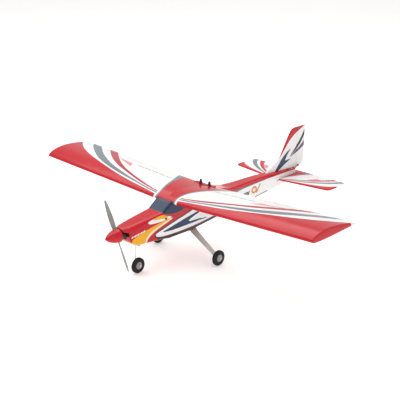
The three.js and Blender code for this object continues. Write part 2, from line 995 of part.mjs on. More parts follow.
// ---------------------------------------------------------------- servo arms and long rods
function flatArm(cx, cy, reach) {
  // double-ended arm, lying level
  const pts = [];
  const n = 3;
  for (let i = 0; i <= n; i++) {
    const a = -Math.PI / 2 + (Math.PI * i) / n;
    pts.push([cx + reach + 3 * Math.cos(a), cy + 3 * Math.sin(a)]);
  }
  pts.push([cx + 4, cy + 4.4], [cx - 4, cy + 4.4]);
  for (let i = 0; i <= n; i++) {
    const a = Math.PI / 2 + (Math.PI * i) / n;
    pts.push([cx - reach + 3 * Math.cos(a), cy + 3 * Math.sin(a)]);
  }
  pts.push([cx - 4, cy - 4.4], [cx + 4, cy - 4.4]);
  return join(
    cut(
      planPlate(pts, 180, 182.5),
      rodZ(0.9, 170, 190, cx + reach, cy, 6),
      rodZ(0.9, 170, 190, cx - reach, cy, 6),
    ),
    rodZ(4.2, 178.4, 183.5, cx, cy, 12),
  );
}
put("rudder_servo_arm", flatArm(20, SERVO_Y, SERVO_ARM), "white");
put("elevator_servo_arm", flatArm(-20, SERVO_Y, SERVO_ARM), "white");
const ROD_R = 1.2;
const ROD_Z = 182.5 + 0.5 + ROD_R;
put(
  "rudder_pushrod",
  rodBetween([20 - SERVO_ARM, SERVO_Y, ROD_Z], [15, RUDDER_HINGE_Y, 249.4 + ROD_R], ROD_R, 8),
  "steel",
);
put(
  "elevator_pushrod",
  rodBetween([-20 + SERVO_ARM, SERVO_Y, ROD_Z], [-21.7 + 0.5 + ROD_R, ELEV_HINGE_Y, 194], ROD_R, 8),
  "steel",
);
put(
  "steering_pushrod",
  rodBetween([20 + SERVO_ARM, SERVO_Y, ROD_Z], [15, NOSE_Y, ROD_Z], ROD_R, 8),
  "steel",
);

// ---------------------------------------------------------------- nose gear
{
  put(
    "nose_gear_bracket",
    cut(
      join(
        block(-15, 15, NOSE_Y - 12, NOSE_Y + 12, 144.2, 156),
        block(-9, 9, NOSE_Y - 9, NOSE_Y + 9, 155, 174),
      ),
      rodZ(NOSE_WIRE + 0.5, 140, 190, 0, NOSE_Y, 12),
    ),
    "black",
  );
  const R = 8;
  const z0 = 128;
  const pts = [
    [0, NOSE_Y, 185],
    [0, NOSE_Y, 175],
    [0, NOSE_Y, 160],
    [0, NOSE_Y, 142],
    [0, NOSE_Y, 135],
  ];
  const turns = 2,
    per = 8,
    dx = -15;
  for (let i = 0; i <= turns * per; i++) {
    const a = Math.PI + (2 * Math.PI * i) / per;
    pts.push([
      (dx * i) / (turns * per),
      NOSE_Y + R + R * Math.cos(a),
      z0 + R * Math.sin(a),
    ]);
  }
  pts.push(
    [dx, NOSE_Y, 120],
    [dx, NOSE_Y, 106],
    [dx, NOSE_Y, 80],
    [dx, NOSE_Y, 52],
    [dx, NOSE_Y, 41],
    [dx + 0.9, NOSE_Y, 37.2],
    [dx + 2.9, NOSE_Y, 34.8],
    [dx + 5.4, NOSE_Y, WHEEL_R],
    [-6, NOSE_Y, WHEEL_R],
    [4, NOSE_Y, WHEEL_R],
    [15, NOSE_Y, WHEEL_R],
  );
  const path = new THREE.CatmullRomCurve3(
    pts.map((p) => new THREE.Vector3(...p)),
    false,
    "centripetal",
  );
  const ring = [];
  for (let i = 0; i < 6; i++)
    ring.push([
      NOSE_WIRE * Math.cos((i * Math.PI) / 3),
      NOSE_WIRE * Math.sin((i * Math.PI) / 3),
    ]);
  const wire = new THREE.ExtrudeGeometry(shape(ring), {
    steps: 72,
    bevelEnabled: false,
    extrudePath: path,
  });
  put("nose_leg", solid(wire), "steel");
  put(
    "steering_arm",
    cut(
      join(
        rodZ(5.5, 175.5, 183.5, 0, NOSE_Y, 12),
        planPlate(
          [
            [0, NOSE_Y - 4],
            [15, NOSE_Y - 3],
            [17.6, NOSE_Y - 1.6],
            [18.2, NOSE_Y],
            [17.6, NOSE_Y + 1.6],
            [15, NOSE_Y + 3],
            [0, NOSE_Y + 4],
          ],
          180,
          182.5,
        ),
      ),
      rodZ(NOSE_WIRE + 0.5, 170, 190, 0, NOSE_Y, 12),
      rodZ(0.9, 170, 190, 15, NOSE_Y, 6),
    ),
    "black",
  );
}

// ---------------------------------------------------------------- wheels
const tyreProfile = [
  [HUB_R + 0.3, -7.4],
  [19, -9.2],
  [25, -10],
  [30.4, -8.2],
  [33.2, -4.8],
  [34, -1.2],
  [34, 1.2],
  [33.2, 4.8],
  [30.4, 8.2],
  [25, 10],
  [19, 9.2],
  [HUB_R + 0.3, 7.4],
];
const hubProfile = (bore) => [
  [bore, -9],
  [6, -9],
  [6, -3],
  [12, -2.4],
  [12.6, -7],
  [HUB_R, -7.4],
  [HUB_R, 7.4],
  [12.6, 7],
  [12, 2.4],
  [6, 3],
  [6, 9],
  [bore, 9],
];
function wheel(name, x, y, bore) {
  const g = new THREE.Group();
  g.position.set(x, y, WHEEL_R);
  g.rotation.z = -Math.PI / 2;
  root.add(g);
  put(name + "_tyre", turned(closed(tyreProfile), 28), "tyre", g);
  put(name + "_hub", turned(closed(hubProfile(bore)), 16), "hub", g);
}
wheel("nose", 0, NOSE_Y, NOSE_WIRE + 0.5);
wheel("main_left", MAIN_X, MAIN_Y, AXLE_R + 0.3);
wheel("main_right", -MAIN_X, MAIN_Y, AXLE_R + 0.3);

// ---------------------------------------------------------------- main gear
{
  const line = [
    [0, 126.6],
    [29, 126.6],
    [34, 124.6],
    [40, 117.5],
    [148, 54],
    [158, 48],
    [163, 44],
    [STRAP_X, 39],
    [STRAP_X, 25],
  ];
  const offset = (d) =>
    line.map(([x, z], i) => {
      const a = line[Math.max(i - 1, 0)],
        b = line[Math.min(i + 1, line.length - 1)];
      const tx = b[0] - a[0],
        tz = b[1] - a[1],
        l = Math.hypot(tx, tz);
      return [x - (tz / l) * d, z + (tx / l) * d];
    });
  const up = offset(STRAP_T / 2),
    down = offset(-STRAP_T / 2);
  const mirror = (p) => p.map(([x, z]) => [-x, z]);
  const outline = [
    ...mirror(up).reverse(),
    ...up.slice(1),
    ...[...down].reverse(),
    ...mirror(down).slice(1),
  ];
  const strap = frontPlate(outline, MAIN_Y - 30, MAIN_Y + 30);
  const half = [
    [34, 20],
    [60, 18.2],
    [165, 12],
    [172, 12],
  ];
  const plan = [
    ...half.map(([x, w]) => [x, MAIN_Y - w]),
    ...[...half].reverse().map(([x, w]) => [x, MAIN_Y + w]),
    ...half.map(([x, w]) => [-x, MAIN_Y + w]),
    ...[...half].reverse().map(([x, w]) => [-x, MAIN_Y - w]),
  ];
  put(
    "main_gear",
    cut(
      strap.intersect(planPlate(plan, 0, 200)),
      rodX(AXLE_R + GAP, 150, 180, MAIN_Y, WHEEL_R, 12),
      rodX(AXLE_R + GAP, -180, -150, MAIN_Y, WHEEL_R, 12),
    ),
    "metal",
  );
  for (const [word, s] of [
    ["left", 1],
    ["right", -1],
  ]) {
    const X = (a, b) => (s > 0 ? [a, b] : [-b, -a]);
    const bar = (r, a, b, n) => rodX(r, ...X(a, b), MAIN_Y, WHEEL_R, n);
    put(
      "main_axle_" + word,
      join(
        bar(AXLE_R, 160, 199.6, 10),
        bar(4.4, 158.6, STRAP_X - STRAP_T / 2 - 0.3, 6),
        bar(4.4, STRAP_X + STRAP_T / 2 + 0.3, 171.5, 6),
        bar(4.2, 194.8, 199, 10),
      ),
      "steel",
    );
  }
}

// ---------------------------------------------------------------- hatch latch
put("hatch_latch", rodX(4.5, 36, 50.2, -347.5, 225, 14), "black");

// ---------------------------------------------------------------- motor, propeller, spinner
put(
  "motor_stator",
  (() => {
    const g = new THREE.LatheGeometry(
      closed([
        [3.1, -566.4],
        [19.6, -566.4],
        [19.6, -553],
        [9, -553],
        [9, -549.9],
        [22, -549.9],
        [22, -545.9],
        [3.1, -545.9],
      ]).map(([r, y]) => new THREE.Vector2(r, y)),
      20,
    ).translate(0, 0, THRUST_Z);
    return solid(g);
  })(),
  "black",
);
{
  const drive = new THREE.Group();
  drive.position.set(0, 0, THRUST_Z);
  drive.rotation.y = (PROP_TURN * Math.PI) / 180;
  root.add(drive);

  // Bell with its shaft and the propeller adapter's nut.
  const bell = turned(
    [
      [0, -600.5],
      [2.6, -600.5],
      [4.8, -598.6],
      [5.8, -596],
      [5.8, -590.6],
      [2.8, -590.6],
      [2.8, -574.3],
      [7, -574.3],
      [7, -571.5],
      [19, -571.5],
      [23, -568.5],
      [23, -551],
      [21, -551],
      [21, -567.4],
      [2.6, -567.4],
      [2.6, -547],
      [0, -547],
    ],
    20,
  );
  put("motor_can", bell, "steel", drive);
  put(
    "spinner_backplate",
    turned(
      closed([
        [3.2, -577.2],
        [SPINNER_R - 0.4, -577.2],
        [SPINNER_R - 0.4, -574.7],
        [3.2, -574.7],
      ]),
      28,
    ),
    "red",
    drive,
  );
  // One blade: a box whose vertices follow the chord, thickness and pitch along the radius.
  const chordAt = (r) => {
    const t = r / PROP_R;
    const table = [
      [0, 13],
      [0.1, 13.5],
      [0.2, 17],
      [0.35, 22],
      [0.5, 24],
      [0.65, 23],
      [0.8, 19.5],
      [0.92, 14],
      [0.975, 9.5],
      [1, 5],
    ];
    for (let i = 1; i < table.length; i++)
      if (t <= table[i][0]) {
        const [a, b] = [table[i - 1], table[i]];
        return a[1] + ((b[1] - a[1]) * (t - a[0])) / (b[0] - a[0]);
      }
    return 5;
  };
  function blade(turn) {
    const nr = 12;
    const g = new THREE.BoxGeometry(1, 1, 1, 4, 1, nr);
    const p = g.attributes.position;
    for (let i = 0; i < p.count; i++) {
      const u = p.getX(i),
        v = p.getY(i),
        s = p.getZ(i) + 0.5;
      const r = 6 + (PROP_R - 6) * (1 - (1 - s) ** 1.15);
      const c = chordAt(r);
      const thick = 0.9 + 6.2 * Math.max(0, 1 - r / 95) ** 1.3 + 1.1 * (1 - r / PROP_R);
      const prof = 0.28 + 0.72 * (1 - (2 * u) ** 2);
      const beta = Math.min(Math.atan(PROP_PITCH / (2 * Math.PI * Math.max(r, 18))), 0.72);
      const a = u * c; // chordwise, + towards the leading edge
      const b = -v * thick * prof - (v < 0 ? 0 : 0.3 * thick * prof);
      const x = -(a * Math.cos(beta) - b * Math.sin(beta));
      const y = -(a * Math.sin(beta) + b * Math.cos(beta));
      p.setXYZ(i, x, -584 + y, r);
    }
    return solid(g.rotateY(turn));
  }
  put(
    "propeller",
    cut(
      join(
        rodY(12, -590.2, -577.6, 0, 0, 20),
        blade(0),
        blade(Math.PI),
      ),
      rodY(3.1, -600, -560, 0, 0, 12),
    ),
    "grey",
    drive,
  );
  const ogive = (t) => (1 - t ** 1.9) ** 0.82;
  const tip = -HALF_LENGTH;
  const n = 8;
  const outer = [],
    inner = [];
  for (let i = 0; i <= n; i++) {
    const t = i / n;
    outer.push([
      i === n ? 0 : SPINNER_R * ogive(t),
      SPINNER_BASE_Y + (tip - SPINNER_BASE_Y) * t,
    ]);
    inner.push([
      i === n ? 0 : (SPINNER_R - 1.8) * ogive(t),
      SPINNER_BASE_Y + (tip + 3.5 - SPINNER_BASE_Y) * t,
    ]);
  }
  const cone = turned([...outer.reverse(), ...inner], 28);
  put(
    "spinner_cone",
    cut(
      cone,
      block(-9.5, 9.5, -594.5, -570, -40, 40), // openings for the blades
    ),
    "red",
    drive,
  );
}

export default root;
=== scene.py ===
import math

import bmesh
import bpy
import numpy as np
from mathutils import Matrix, Vector


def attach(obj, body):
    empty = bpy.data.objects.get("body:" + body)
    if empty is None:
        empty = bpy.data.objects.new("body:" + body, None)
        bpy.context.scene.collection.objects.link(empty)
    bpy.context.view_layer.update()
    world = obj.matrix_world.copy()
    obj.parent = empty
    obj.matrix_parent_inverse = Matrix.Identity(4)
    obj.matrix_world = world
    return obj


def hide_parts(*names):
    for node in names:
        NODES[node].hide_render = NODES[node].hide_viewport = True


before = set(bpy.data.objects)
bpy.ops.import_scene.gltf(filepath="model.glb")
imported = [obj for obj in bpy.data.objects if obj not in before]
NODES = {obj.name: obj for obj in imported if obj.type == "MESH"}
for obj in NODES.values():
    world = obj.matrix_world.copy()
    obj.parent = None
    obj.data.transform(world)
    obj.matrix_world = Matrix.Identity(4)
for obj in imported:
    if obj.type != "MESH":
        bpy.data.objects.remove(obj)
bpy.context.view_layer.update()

MM = 0.001

# ------------------------------------------------------------------ dimensions (mm, the part's own)
HALF_LENGTH = 646.5
CHORD = 265.0
WING_LE = -308.5
WING_TE = -43.5
WING_Z = 291.0
DIHEDRAL = math.radians(2.5)
THICK, CAMBER, CAMBER_AT = 0.143, 0.026, 0.35
AIL_IN, AIL_OUT = 365.0, 770.0
WALL = 2.0
NOSE_Y = -466.5
MAIN_X, MAIN_Y, WHEEL_R = 185.0, -166.5, 34.0
THRUST_Z = 200.0
PROP_R, PROP_PITCH = 154.0, 165.0
PROP_TURN = math.radians(-26.6)
SPIN_R, SPIN_Y = 29.5, -577.5
STAB_Z = 210.0

STATIONS = np.array([
    [-545.5, 38, 191, 233.5, 10, 20],
    [-538.5, 38.8, 170, 234.3, 14, 19.5],
    [-530.5, 39.5, 160.5, 235.2, 14, 19],
    [-520.5, 40.3, 151.5, 236.4, 14, 18.5],
    [-505.5, 41.4, 145, 238.4, 14, 18],
    [-493.5, 42.2, 142.5, 240, 13, 17.5],
    [-456.5, 44, 140.5, 244.6, 12, 16],
    [-381.5, 46.3, 136, 253.6, 10, 14],
    [-363, 46.8, 134, 256, 10, 13],
    [-323.5, 47, 128, 284.5, 10, 12],
    [-310, 47, 128, 291, 10, 10],
    [-269.5, 47, 128, 305, 10, 8],
    [-195.5, 47, 128, 305, 10, 8],
    [-107.5, 46.6, 137, 300, 10, 8],
    [-43.5, 45, 142.5, 289, 10, 7],
    [36.5, 41, 148, 267, 9, 6],
    [81.5, 37.5, 151, 256.5, 8, 6],
    [120, 33.5, 153, 255.3, 8, 6],
    [160, 30.5, 155.5, 255, 8, 6],
    [236.5, 27, 161.3, 255, 7, 5],
    [356.5, 22, 171, 252.5, 6, 5],
    [416.5, 20, 176, 249.5, 6, 5],
    [476.5, 18, 181, 246, 5, 4],
    [536.5, 15.3, 189.5, 243, 4.5, 4],
    [569.5, 14, 195, 241, 4, 4],
], float)
HATCH_LINE = [(-449.2, 228.0), (-360, 243), (-310, 243)]
COWL_LINE = [(-545.5, 203.3), (-449.8, 228.3)]
COWL_FULL = [(-575, 221), (-566, 217.5), (-549.5, 211.5), (-545.5, 203.3), (-449.8, 228.3)]
DECK_LINE = [(-43.1, 262), (81.5, 240), (120, 236.5), (300, 236), (540, 234), (569.5, 233)]


# ------------------------------------------------------------------ small tools
def pchip(x, xs, ys):
    """Monotone cubic through the points, so rows between stations never overshoot them."""
    xs, ys = np.asarray(xs, float), np.asarray(ys, float)
    h = np.diff(xs)
    d = np.diff(ys) / h
    m = np.zeros(len(xs))
    for i in range(1, len(xs) - 1):
        if d[i - 1] * d[i] > 0:
            w1, w2 = 2 * h[i] + h[i - 1], h[i] + 2 * h[i - 1]
            m[i] = (w1 + w2) / (w1 / d[i - 1] + w2 / d[i])
    m[0], m[-1] = d[0], d[-1]
    i = np.clip(np.searchsorted(xs, x) - 1, 0, len(h) - 1)
    t = (x - xs[i]) / h[i]
    return (
        (2 * t**3 - 3 * t**2 + 1) * ys[i]
        + (t**3 - 2 * t**2 + t) * h[i] * m[i]
        + (-2 * t**3 + 3 * t**2) * ys[i + 1]
        + (t**3 - t**2) * h[i] * m[i + 1]
    )


def station(y):
    lin = [float(np.interp(y, STATIONS[:, 0], STATIONS[:, k])) for k in range(1, 6)]
    if -400 < y < -43.5:
        return lin
    return [float(pchip(y, STATIONS[:, 0], STATIONS[:, k])) for k in range(1, 6)]


def lineat(line, y):
    a = np.array(line, float)
    return np.interp(y, a[:, 0], a[:, 1])


def smooth_curve(points, n=7):
    """Catmull-Rom through an open row of 2-D points."""
    p = np.array(points, float)
    p = np.vstack([2 * p[0] - p[1], p, 2 * p[-1] - p[-2]])
    out = []
    for i in range(1, len(p) - 2):
        for k in range(n):
            t = k / n
            out.append(0.5 * (2 * p[i] + (p[i + 1] - p[i - 1]) * t + (2 * p[i - 1] - 5 * p[i] + 4 * p[i + 1] - p[i + 2]) * t * t + (3 * p[i] - p[i - 1] - 3 * p[i + 1] + p[i + 2]) * t**3))
    out.append(p[-2])
    return [tuple(q) for q in out]


def area_distance(P, poly):
    """Signed distance of 2-D points to a closed outline, positive inside."""
    a = np.array(poly, float)
    b = np.roll(a, -1, 0)
    d = np.full(len(P), 1e9)
    inside = np.zeros(len(P), bool)
    for p, q in zip(a, b):
        e = q - p
        l2 = float(e @ e)
        if l2 < 1e-12:
            continue
        t = np.clip(((P - p) @ e) / l2, 0, 1)
        r = P - p - t[:, None] * e
        d = np.minimum(d, np.hypot(r[:, 0], r[:, 1]))
        if p[1] != q[1]:
            cond = (p[1] > P[:, 1]) != (q[1] > P[:, 1])
            xs = (q[0] - p[0]) * (P[:, 1] - p[1]) / (q[1] - p[1]) + p[0]
            inside ^= cond & (P[:, 0] < xs)
    return np.where(inside, d, -d)


def camber(x):
    x = np.asarray(x, float)
    line = np.where(x < CAMBER_AT, CAMBER / CAMBER_AT**2 * (2 * CAMBER_AT * x - x * x), CAMBER / (1 - CAMBER_AT) ** 2 * (1 - 2 * CAMBER_AT + 2 * CAMBER_AT * x - x * x))
    return line - 9.0 / CHORD * (1 - x) ** 2


def halfthick(x):
    x = np.clip(np.asarray(x, float), 0, 1)
    return 5 * THICK * (0.2969 * np.sqrt(x) - 0.126 * x - 0.3516 * x**2 + 0.2843 * x**3 - 0.1036 * x**4) + 0.0035 * x


def upper(y):
    c = (np.asarray(y, float) - WING_LE) / CHORD
    return CHORD * (camber(c) + halfthick(c))


def lower(y):
    c = (np.asarray(y, float) - WING_LE) / CHORD
    return CHORD * (camber(c) - halfthick(c))


def wing_matrix(side):
    return Matrix.Translation((0, 0, WING_Z)) @ Matrix.Rotation(-side * DIHEDRAL, 4, "Y")


def to_wing(V, side):
    """Points in a panel's own frame (x along the panel, signed) to the row frame, mm."""
    m = np.array(wing_matrix(side))
    return V @ m[:3, :3].T + m[:3, 3]


# ------------------------------------------------------------------ making pieces
def make(name, V, F, body, mat, replaces=(), sharp=35, masks=None, mat_index=None, merge=0.0, mats=None):
    """A piece from vertices in mm in the row frame and faces."""
    me = bpy.data.meshes.new(name)
    me.from_pydata([tuple(v) for v in np.asarray(V, float) * MM], [], [list(f) for f in F])
    if mat_index is not None:
        me.polygons.foreach_set("material_index", mat_index)
    bm = bmesh.new()
    bm.from_mesh(me)
    if merge:
        bmesh.ops.remove_doubles(bm, verts=bm.verts, dist=merge * MM)
        bmesh.ops.dissolve_degenerate(bm, edges=bm.edges, dist=merge * MM * 0.5)
    bmesh.ops.recalc_face_normals(bm, faces=bm.faces)
    bm.to_mesh(me)
    bm.free()
    ob = bpy.data.objects.new(name, me)
    bpy.context.scene.collection.objects.link(ob)
    for m in (mats or [mat]):
        me.materials.append(m)
    finish_piece(ob, body, replaces, sharp, masks)
    return ob


def finish_piece(ob, body, replaces=(), sharp=35, masks=None):
    me = ob.data
    me.polygons.foreach_set("use_smooth", [True] * len(me.polygons))
    me.set_sharp_from_angle(angle=math.radians(sharp))
    paint(ob, masks)
    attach(ob, body)
    if replaces:
        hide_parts(*replaces)


def paint(ob, masks):
    """Stores each trim area's signed distance on the piece, in mm, painted shade areas too; the covering's shader
    draws its edge.
    """
    if not masks:
        return
    me = ob.data
    co = np.zeros(len(me.vertices) * 3, np.float32)
    me.vertices.foreach_get("co", co)
    P = co.reshape(-1, 3).astype(float) / MM
    for key, fn in masks.items():
        d = np.clip(fn(P), -60, 60).astype(np.float32)
        att = me.attributes.get(key) or me.attributes.new(key, "FLOAT", "POINT")
        att.data.foreach_set("value", d)


def settle(ob):
    """Applies the modifiers, so that the stored mesh is the final one."""
    dg = bpy.context.evaluated_depsgraph_get()
    dg.update()
    me = bpy.data.meshes.new_from_object(ob.evaluated_get(dg))
    ob.modifiers.clear()
    ob.data = me
    return ob


def from_bm(name, bm, mat):
    me = bpy.data.meshes.new(name)
    bm.to_mesh(me)
    bm.free()
    ob = bpy.data.objects.new(name, me)
    bpy.context.scene.collection.objects.link(ob)
    me.materials.append(mat)
    return ob


def thicken(ob, wall, bevel=0.0):
    m = ob.modifiers.new("wall", "SOLIDIFY")
    m.thickness = wall * MM
    m.offset = -1
    m.use_even_offset = True
    m.use_rim = True
    if bevel:
        b = ob.modifiers.new("edge", "BEVEL")
        b.width = bevel * MM
        b.segments = 2
        b.limit_method = "ANGLE"
        b.angle_limit = math.radians(50)
        b.use_clamp_overlap = True
    return settle(ob)


def grid_faces(nr, nc, wrap=False):
    F = []
    for i in range(nr - 1):
        for j in range(nc if wrap else nc - 1):
            k = (j + 1) % nc
            F.append((i * nc + j, i * nc + k, (i + 1) * nc + k, (i + 1) * nc + j))
    return F


def revolve(profile, n=48, close=True):
    """A body of revolution about y through the origin; profile is (radius, y), closed on itself or on the axis."""
    V, F = [], []
    prof = list(profile)
    rows = len(prof)
    for r, y in prof:
        for k in range(n):
            a = 2 * math.pi * k / n
            V.append((r * math.cos(a), y, r * math.sin(a)))
    rng = rows if close else rows - 1
    for i in range(rng):
        j = (i + 1) % rows
        if prof[i][0] < 1e-6 and prof[j][0] < 1e-6:
            continue
        for k in range(n):
            m = (k + 1) % n
            F.append((i * n + k, i * n + m, j * n + m, j * n + k))
    return np.array(V, float), F


def sweep(points, radius, n=14, closed_ends=True):
    """A round tube along points (mm); radius may be a list."""
    P = np.array(points, float)
    R = np.full(len(P), radius) if np.isscalar(radius) else np.array(radius, float)
    T = np.gradient(P, axis=0)
    T /= np.linalg.norm(T, axis=1)[:, None]
    up = np.array([0.3, 0.5, 0.81])
    u = np.cross(T[0], up)
    u /= np.linalg.norm(u)
    V = []
    for i in range(len(P)):
        u = u - (u @ T[i]) * T[i]
        u /= np.linalg.norm(u)
        w = np.cross(T[i], u)
        for k in range(n):
            a = 2 * math.pi * k / n
            V.append(P[i] + R[i] * (math.cos(a) * u + math.sin(a) * w))
    F = grid_faces(len(P), n, wrap=True)
    if closed_ends:
        F.append(tuple(range(n))[::-1])
        F.append(tuple((len(P) - 1) * n + k for k in range(n)))
    return np.array(V), F


def prism(outline, a, b, axis=0, bevel=0.4):
    """An outline in the other two axes, extruded from a to b along axis, as vertices and faces."""
    n = len(outline)
    V = []
    for h in (a, b):
        for p, q in outline:
            v = [p, q]
            v.insert(axis, h)
            V.append(v)
    F = [tuple(range(n)), tuple(range(2 * n - 1, n - 1, -1))]
    for i in range(n):
        j = (i + 1) % n
        F.append((i, j, n + j, n + i))
    return np.array(V, float), F


def combine(*parts):
    V, F, off = [], [], 0
    for v, f in parts:
        v = np.asarray(v, float)
        V.append(v)
        F += [tuple(i + off for i in face) for face in f]
        off += len(v)
    return np.vstack(V), F


def block(x0, x1, y0, y1, z0, z1):
    return prism([(x0, y0), (x1, y0), (x1, y1), (x0, y1)], z0, z1, axis=2)


def bevelled(name, V, F, body, mat, width=0.5, seg=3, replaces=(), sharp=40, masks=None, angle=35):
    me = bpy.data.meshes.new(name)
    me.from_pydata([tuple(v) for v in np.asarray(V, float) * MM], [], [list(f) for f in F])
    bm = bmesh.new()
    bm.from_mesh(me)
    bmesh.ops.remove_doubles(bm, verts=bm.verts, dist=1e-7)
    bmesh.ops.recalc_face_normals(bm, faces=bm.faces)
    bm.to_mesh(me)
    bm.free()
    ob = bpy.data.objects.new(name, me)
    bpy.context.scene.collection.objects.link(ob)
    me.materials.append(mat)
    b = ob.modifiers.new("edge", "BEVEL")
    b.width = width * MM
    b.segments = seg
    b.limit_method = "ANGLE"
    b.angle_limit = math.radians(angle)
    b.use_clamp_overlap = True
    settle(ob)
    finish_piece(ob, body, replaces, sharp, masks)
    return ob


# ------------------------------------------------------------------ materials
class Tree:
    def __init__(self, name, rough=0.4, metal=0.0, coat=0.0, coat_rough=0.05, spec=0.5, ior=1.5):
        self.m = bpy.data.materials.new(name)
        self.m.use_nodes = True
        self.nt = self.m.node_tree
        self.b = self.nt.nodes["Principled BSDF"]
        self.b.inputs["Roughness"].default_value = rough
        self.b.inputs["Metallic"].default_value = metal
        self.b.inputs["Coat Weight"].default_value = coat
        self.b.inputs["Coat Roughness"].default_value = coat_rough
        self.b.inputs["Specular IOR Level"].default_value = spec
        self.b.inputs["IOR"].default_value = ior
        self.tc = self.nt.nodes.new("ShaderNodeTexCoord")

    def n(self, kind, **k):
        node = self.nt.nodes.new(kind)
        for a, v in k.items():
            setattr(node, a, v)
        return node

    def link(self, a, b):
        self.nt.links.new(a, b)

    def space(self, scale=(1, 1, 1), rotate=(0, 0, 0)):
        mp = self.n("ShaderNodeMapping")
        mp.inputs["Scale"].default_value = scale
        mp.inputs["Rotation"].default_value = rotate
        self.link(self.tc.outputs["Object"], mp.inputs["Vector"])
        return mp.outputs["Vector"]

    def noise(self, scale, detail=4, rough=0.55, vec=None, lac=2.0):
        x = self.n("ShaderNodeTexNoise")
        x.inputs["Scale"].default_value = scale
        x.inputs["Detail"].default_value = detail
        x.inputs["Roughness"].default_value = rough
        x.inputs["Lacunarity"].default_value = lac
        self.link(vec if vec is not None else self.tc.outputs["Object"], x.inputs["Vector"])
        return x.outputs["Fac"]

    def ramp(self, value, lo, hi, to_lo=0.0, to_hi=1.0):
        r = self.n("ShaderNodeMapRange")
        r.clamp = True
        for k, v in zip(("From Min", "From Max", "To Min", "To Max"), (lo, hi, to_lo, to_hi)):
            r.inputs[k].default_value = v
        self.link(value, r.inputs["Value"])
        return r.outputs["Result"]

    def math(self, op, a, b=None):
        x = self.n("ShaderNodeMath", operation=op)
        for i, v in enumerate((a, b)):
            if v is None:
                continue
            if isinstance(v, (int, float)):
                x.inputs[i].default_value = v
            else:
                self.link(v, x.inputs[i])
        return x.outputs[0]

    def mix(self, fac, a, b, mode="MIX"):
        x = self.n("ShaderNodeMix", data_type="RGBA", blend_type=mode)
        for s, v in ((x.inputs[0], fac), (x.inputs[6], a), (x.inputs[7], b)):
            if isinstance(v, (int, float)):
                s.default_value = v
            elif isinstance(v, (tuple, list)):
                s.default_value = (*v[:3], 1)
            else:
                self.link(v, s)
        return x.outputs[2]

    def bump(self, height, distance, strength=1.0, after=None):
        x = self.n("ShaderNodeBump")
        x.inputs["Distance"].default_value = distance
        x.inputs["Strength"].default_value = strength
        self.link(height, x.inputs["Height"])
        if after is not None:
            self.link(after, x.inputs["Normal"])
        return x.outputs["Normal"]

    def done(self, color=None, rough=None, normal=None):
        if color is not None:
            self.link(color, self.b.inputs["Base Color"])
        if rough is not None:
            self.link(rough, self.b.inputs["Roughness"])
        if normal is not None:
            self.link(normal, self.b.inputs["Normal"])
        return self.m


RED = (0.53, 0.007, 0.016)
RED_DEEP = (0.40, 0.010, 0.018)
GREY = (0.185, 0.215, 0.245)
NAVY = (0.015, 0.036, 0.105)
GLASS = (0.011, 0.030, 0.078)
DULL_RED = (0.46, 0.025, 0.045)
WHITE = (0.84, 0.845, 0.84)
YELLOW = (0.85, 0.42, 0.012)
PALE = (0.95, 0.78, 0.62)
# CHAR: charcoal of the printed outline around the white, also used as painted shade on the lower fuselage
CHAR = (0.075, 0.032, 0.042)
PINK = (0.74, 0.30, 0.33)
SILVER = (0.62, 0.65, 0.68)
MAUVE = (0.10, 0.09, 0.15)
ORANGE = (0.64, 0.22, 0.05)
INK = (0.02, 0.02, 0.028)


def covering(name, base, layers, rough=0.17, grain=(3, 60, 60)):
    """Heat-shrink film over wood: the trim colours (with painted shade where a layer stands for it), film gloss,
    slight wrinkles, and a trace of the wood's grain.
    """
    t = Tree(name, rough=rough, coat=0.07, coat_rough=0.06, spec=0.30)
    colour = None
    first = base
    edge = None
    for key, col in layers:
        a = t.n("ShaderNodeAttribute", attribute_name=key)
        f = t.ramp(a.outputs["Fac"], -0.18, 0.18)
        colour = t.mix(f, colour if colour is not None else first, col)
        near = t.math("SUBTRACT", 1.0, t.ramp(t.math("ABSOLUTE", a.outputs["Fac"]), 0.0, 0.5))
        edge = near if edge is None else t.math("MAXIMUM", edge, near)
    wide = t.ramp(t.noise(9, 3), 0.3, 0.7, 0.955, 1.03)
    fine = t.ramp(t.noise(60, 6, vec=t.space(grain)), 0.3, 0.7, 0.965, 1.02)
    shade = t.math("MULTIPLY", wide, fine)
    g = t.n("ShaderNodeCombineColor")
    for i in range(3):
        t.link(shade, g.inputs[i])
    colour = t.mix(1.0, colour if colour is not None else (*base, 1), g.outputs[0], "MULTIPLY")
    rr = t.ramp(t.noise(34, 5), 0.3, 0.7, rough - 0.03, rough + 0.07)
    wr = t.noise(26, 3, 0.5, vec=t.space((1.0, 2.4, 1.6)))
    fine_n = t.noise(420, 2, 0.5, vec=t.space((0.4, 1.6, 1.6)))
    n1 = t.bump(wr, 0.0009, 0.5)
    n2 = t.bump(fine_n, 0.00005, 0.5, n1)
    if edge is not None:
        n2 = t.bump(edge, 0.00006, 0.6, n2)
    return t.done(colour, rr, n2)


def plastic(name, colour, rough=0.4, grain=900, depth=0.00003, coat=0.0, vary=0.05, spec=0.5):
    t = Tree(name, rough=rough, coat=coat, spec=spec)
    a = t.ramp(t.noise(70, 5), 0.3, 0.7)
    lo = tuple(c * (1 - vary) for c in colour)
    hi = tuple(min(1, c * (1 + vary) + 0.003) for c in colour)
    c = t.mix(a, lo, hi)
    r = t.ramp(t.noise(220, 4), 0.3, 0.7, max(0.03, rough - 0.07), rough + 0.08)
    return t.done(c, r, t.bump(t.noise(grain, 3), depth, 0.7))


def metal(name, colour, rough=0.3, stretch=(1, 1, 1), scale=300, vary=0.08, metallic=1.0):
    t = Tree(name, rough=rough, metal=metallic)
    streak = t.noise(scale, 5, 0.6, vec=t.space(stretch))
    c = t.mix(t.ramp(streak, 0.3, 0.7), tuple(x * (1 - vary) for x in colour), tuple(min(1, x * (1 + vary)) for x in colour))
    r = t.ramp(t.noise(45, 5), 0.25, 0.75, rough - 0.06, rough + 0.12)
    return t.done(c, r, t.bump(streak, 0.00003, 0.5))


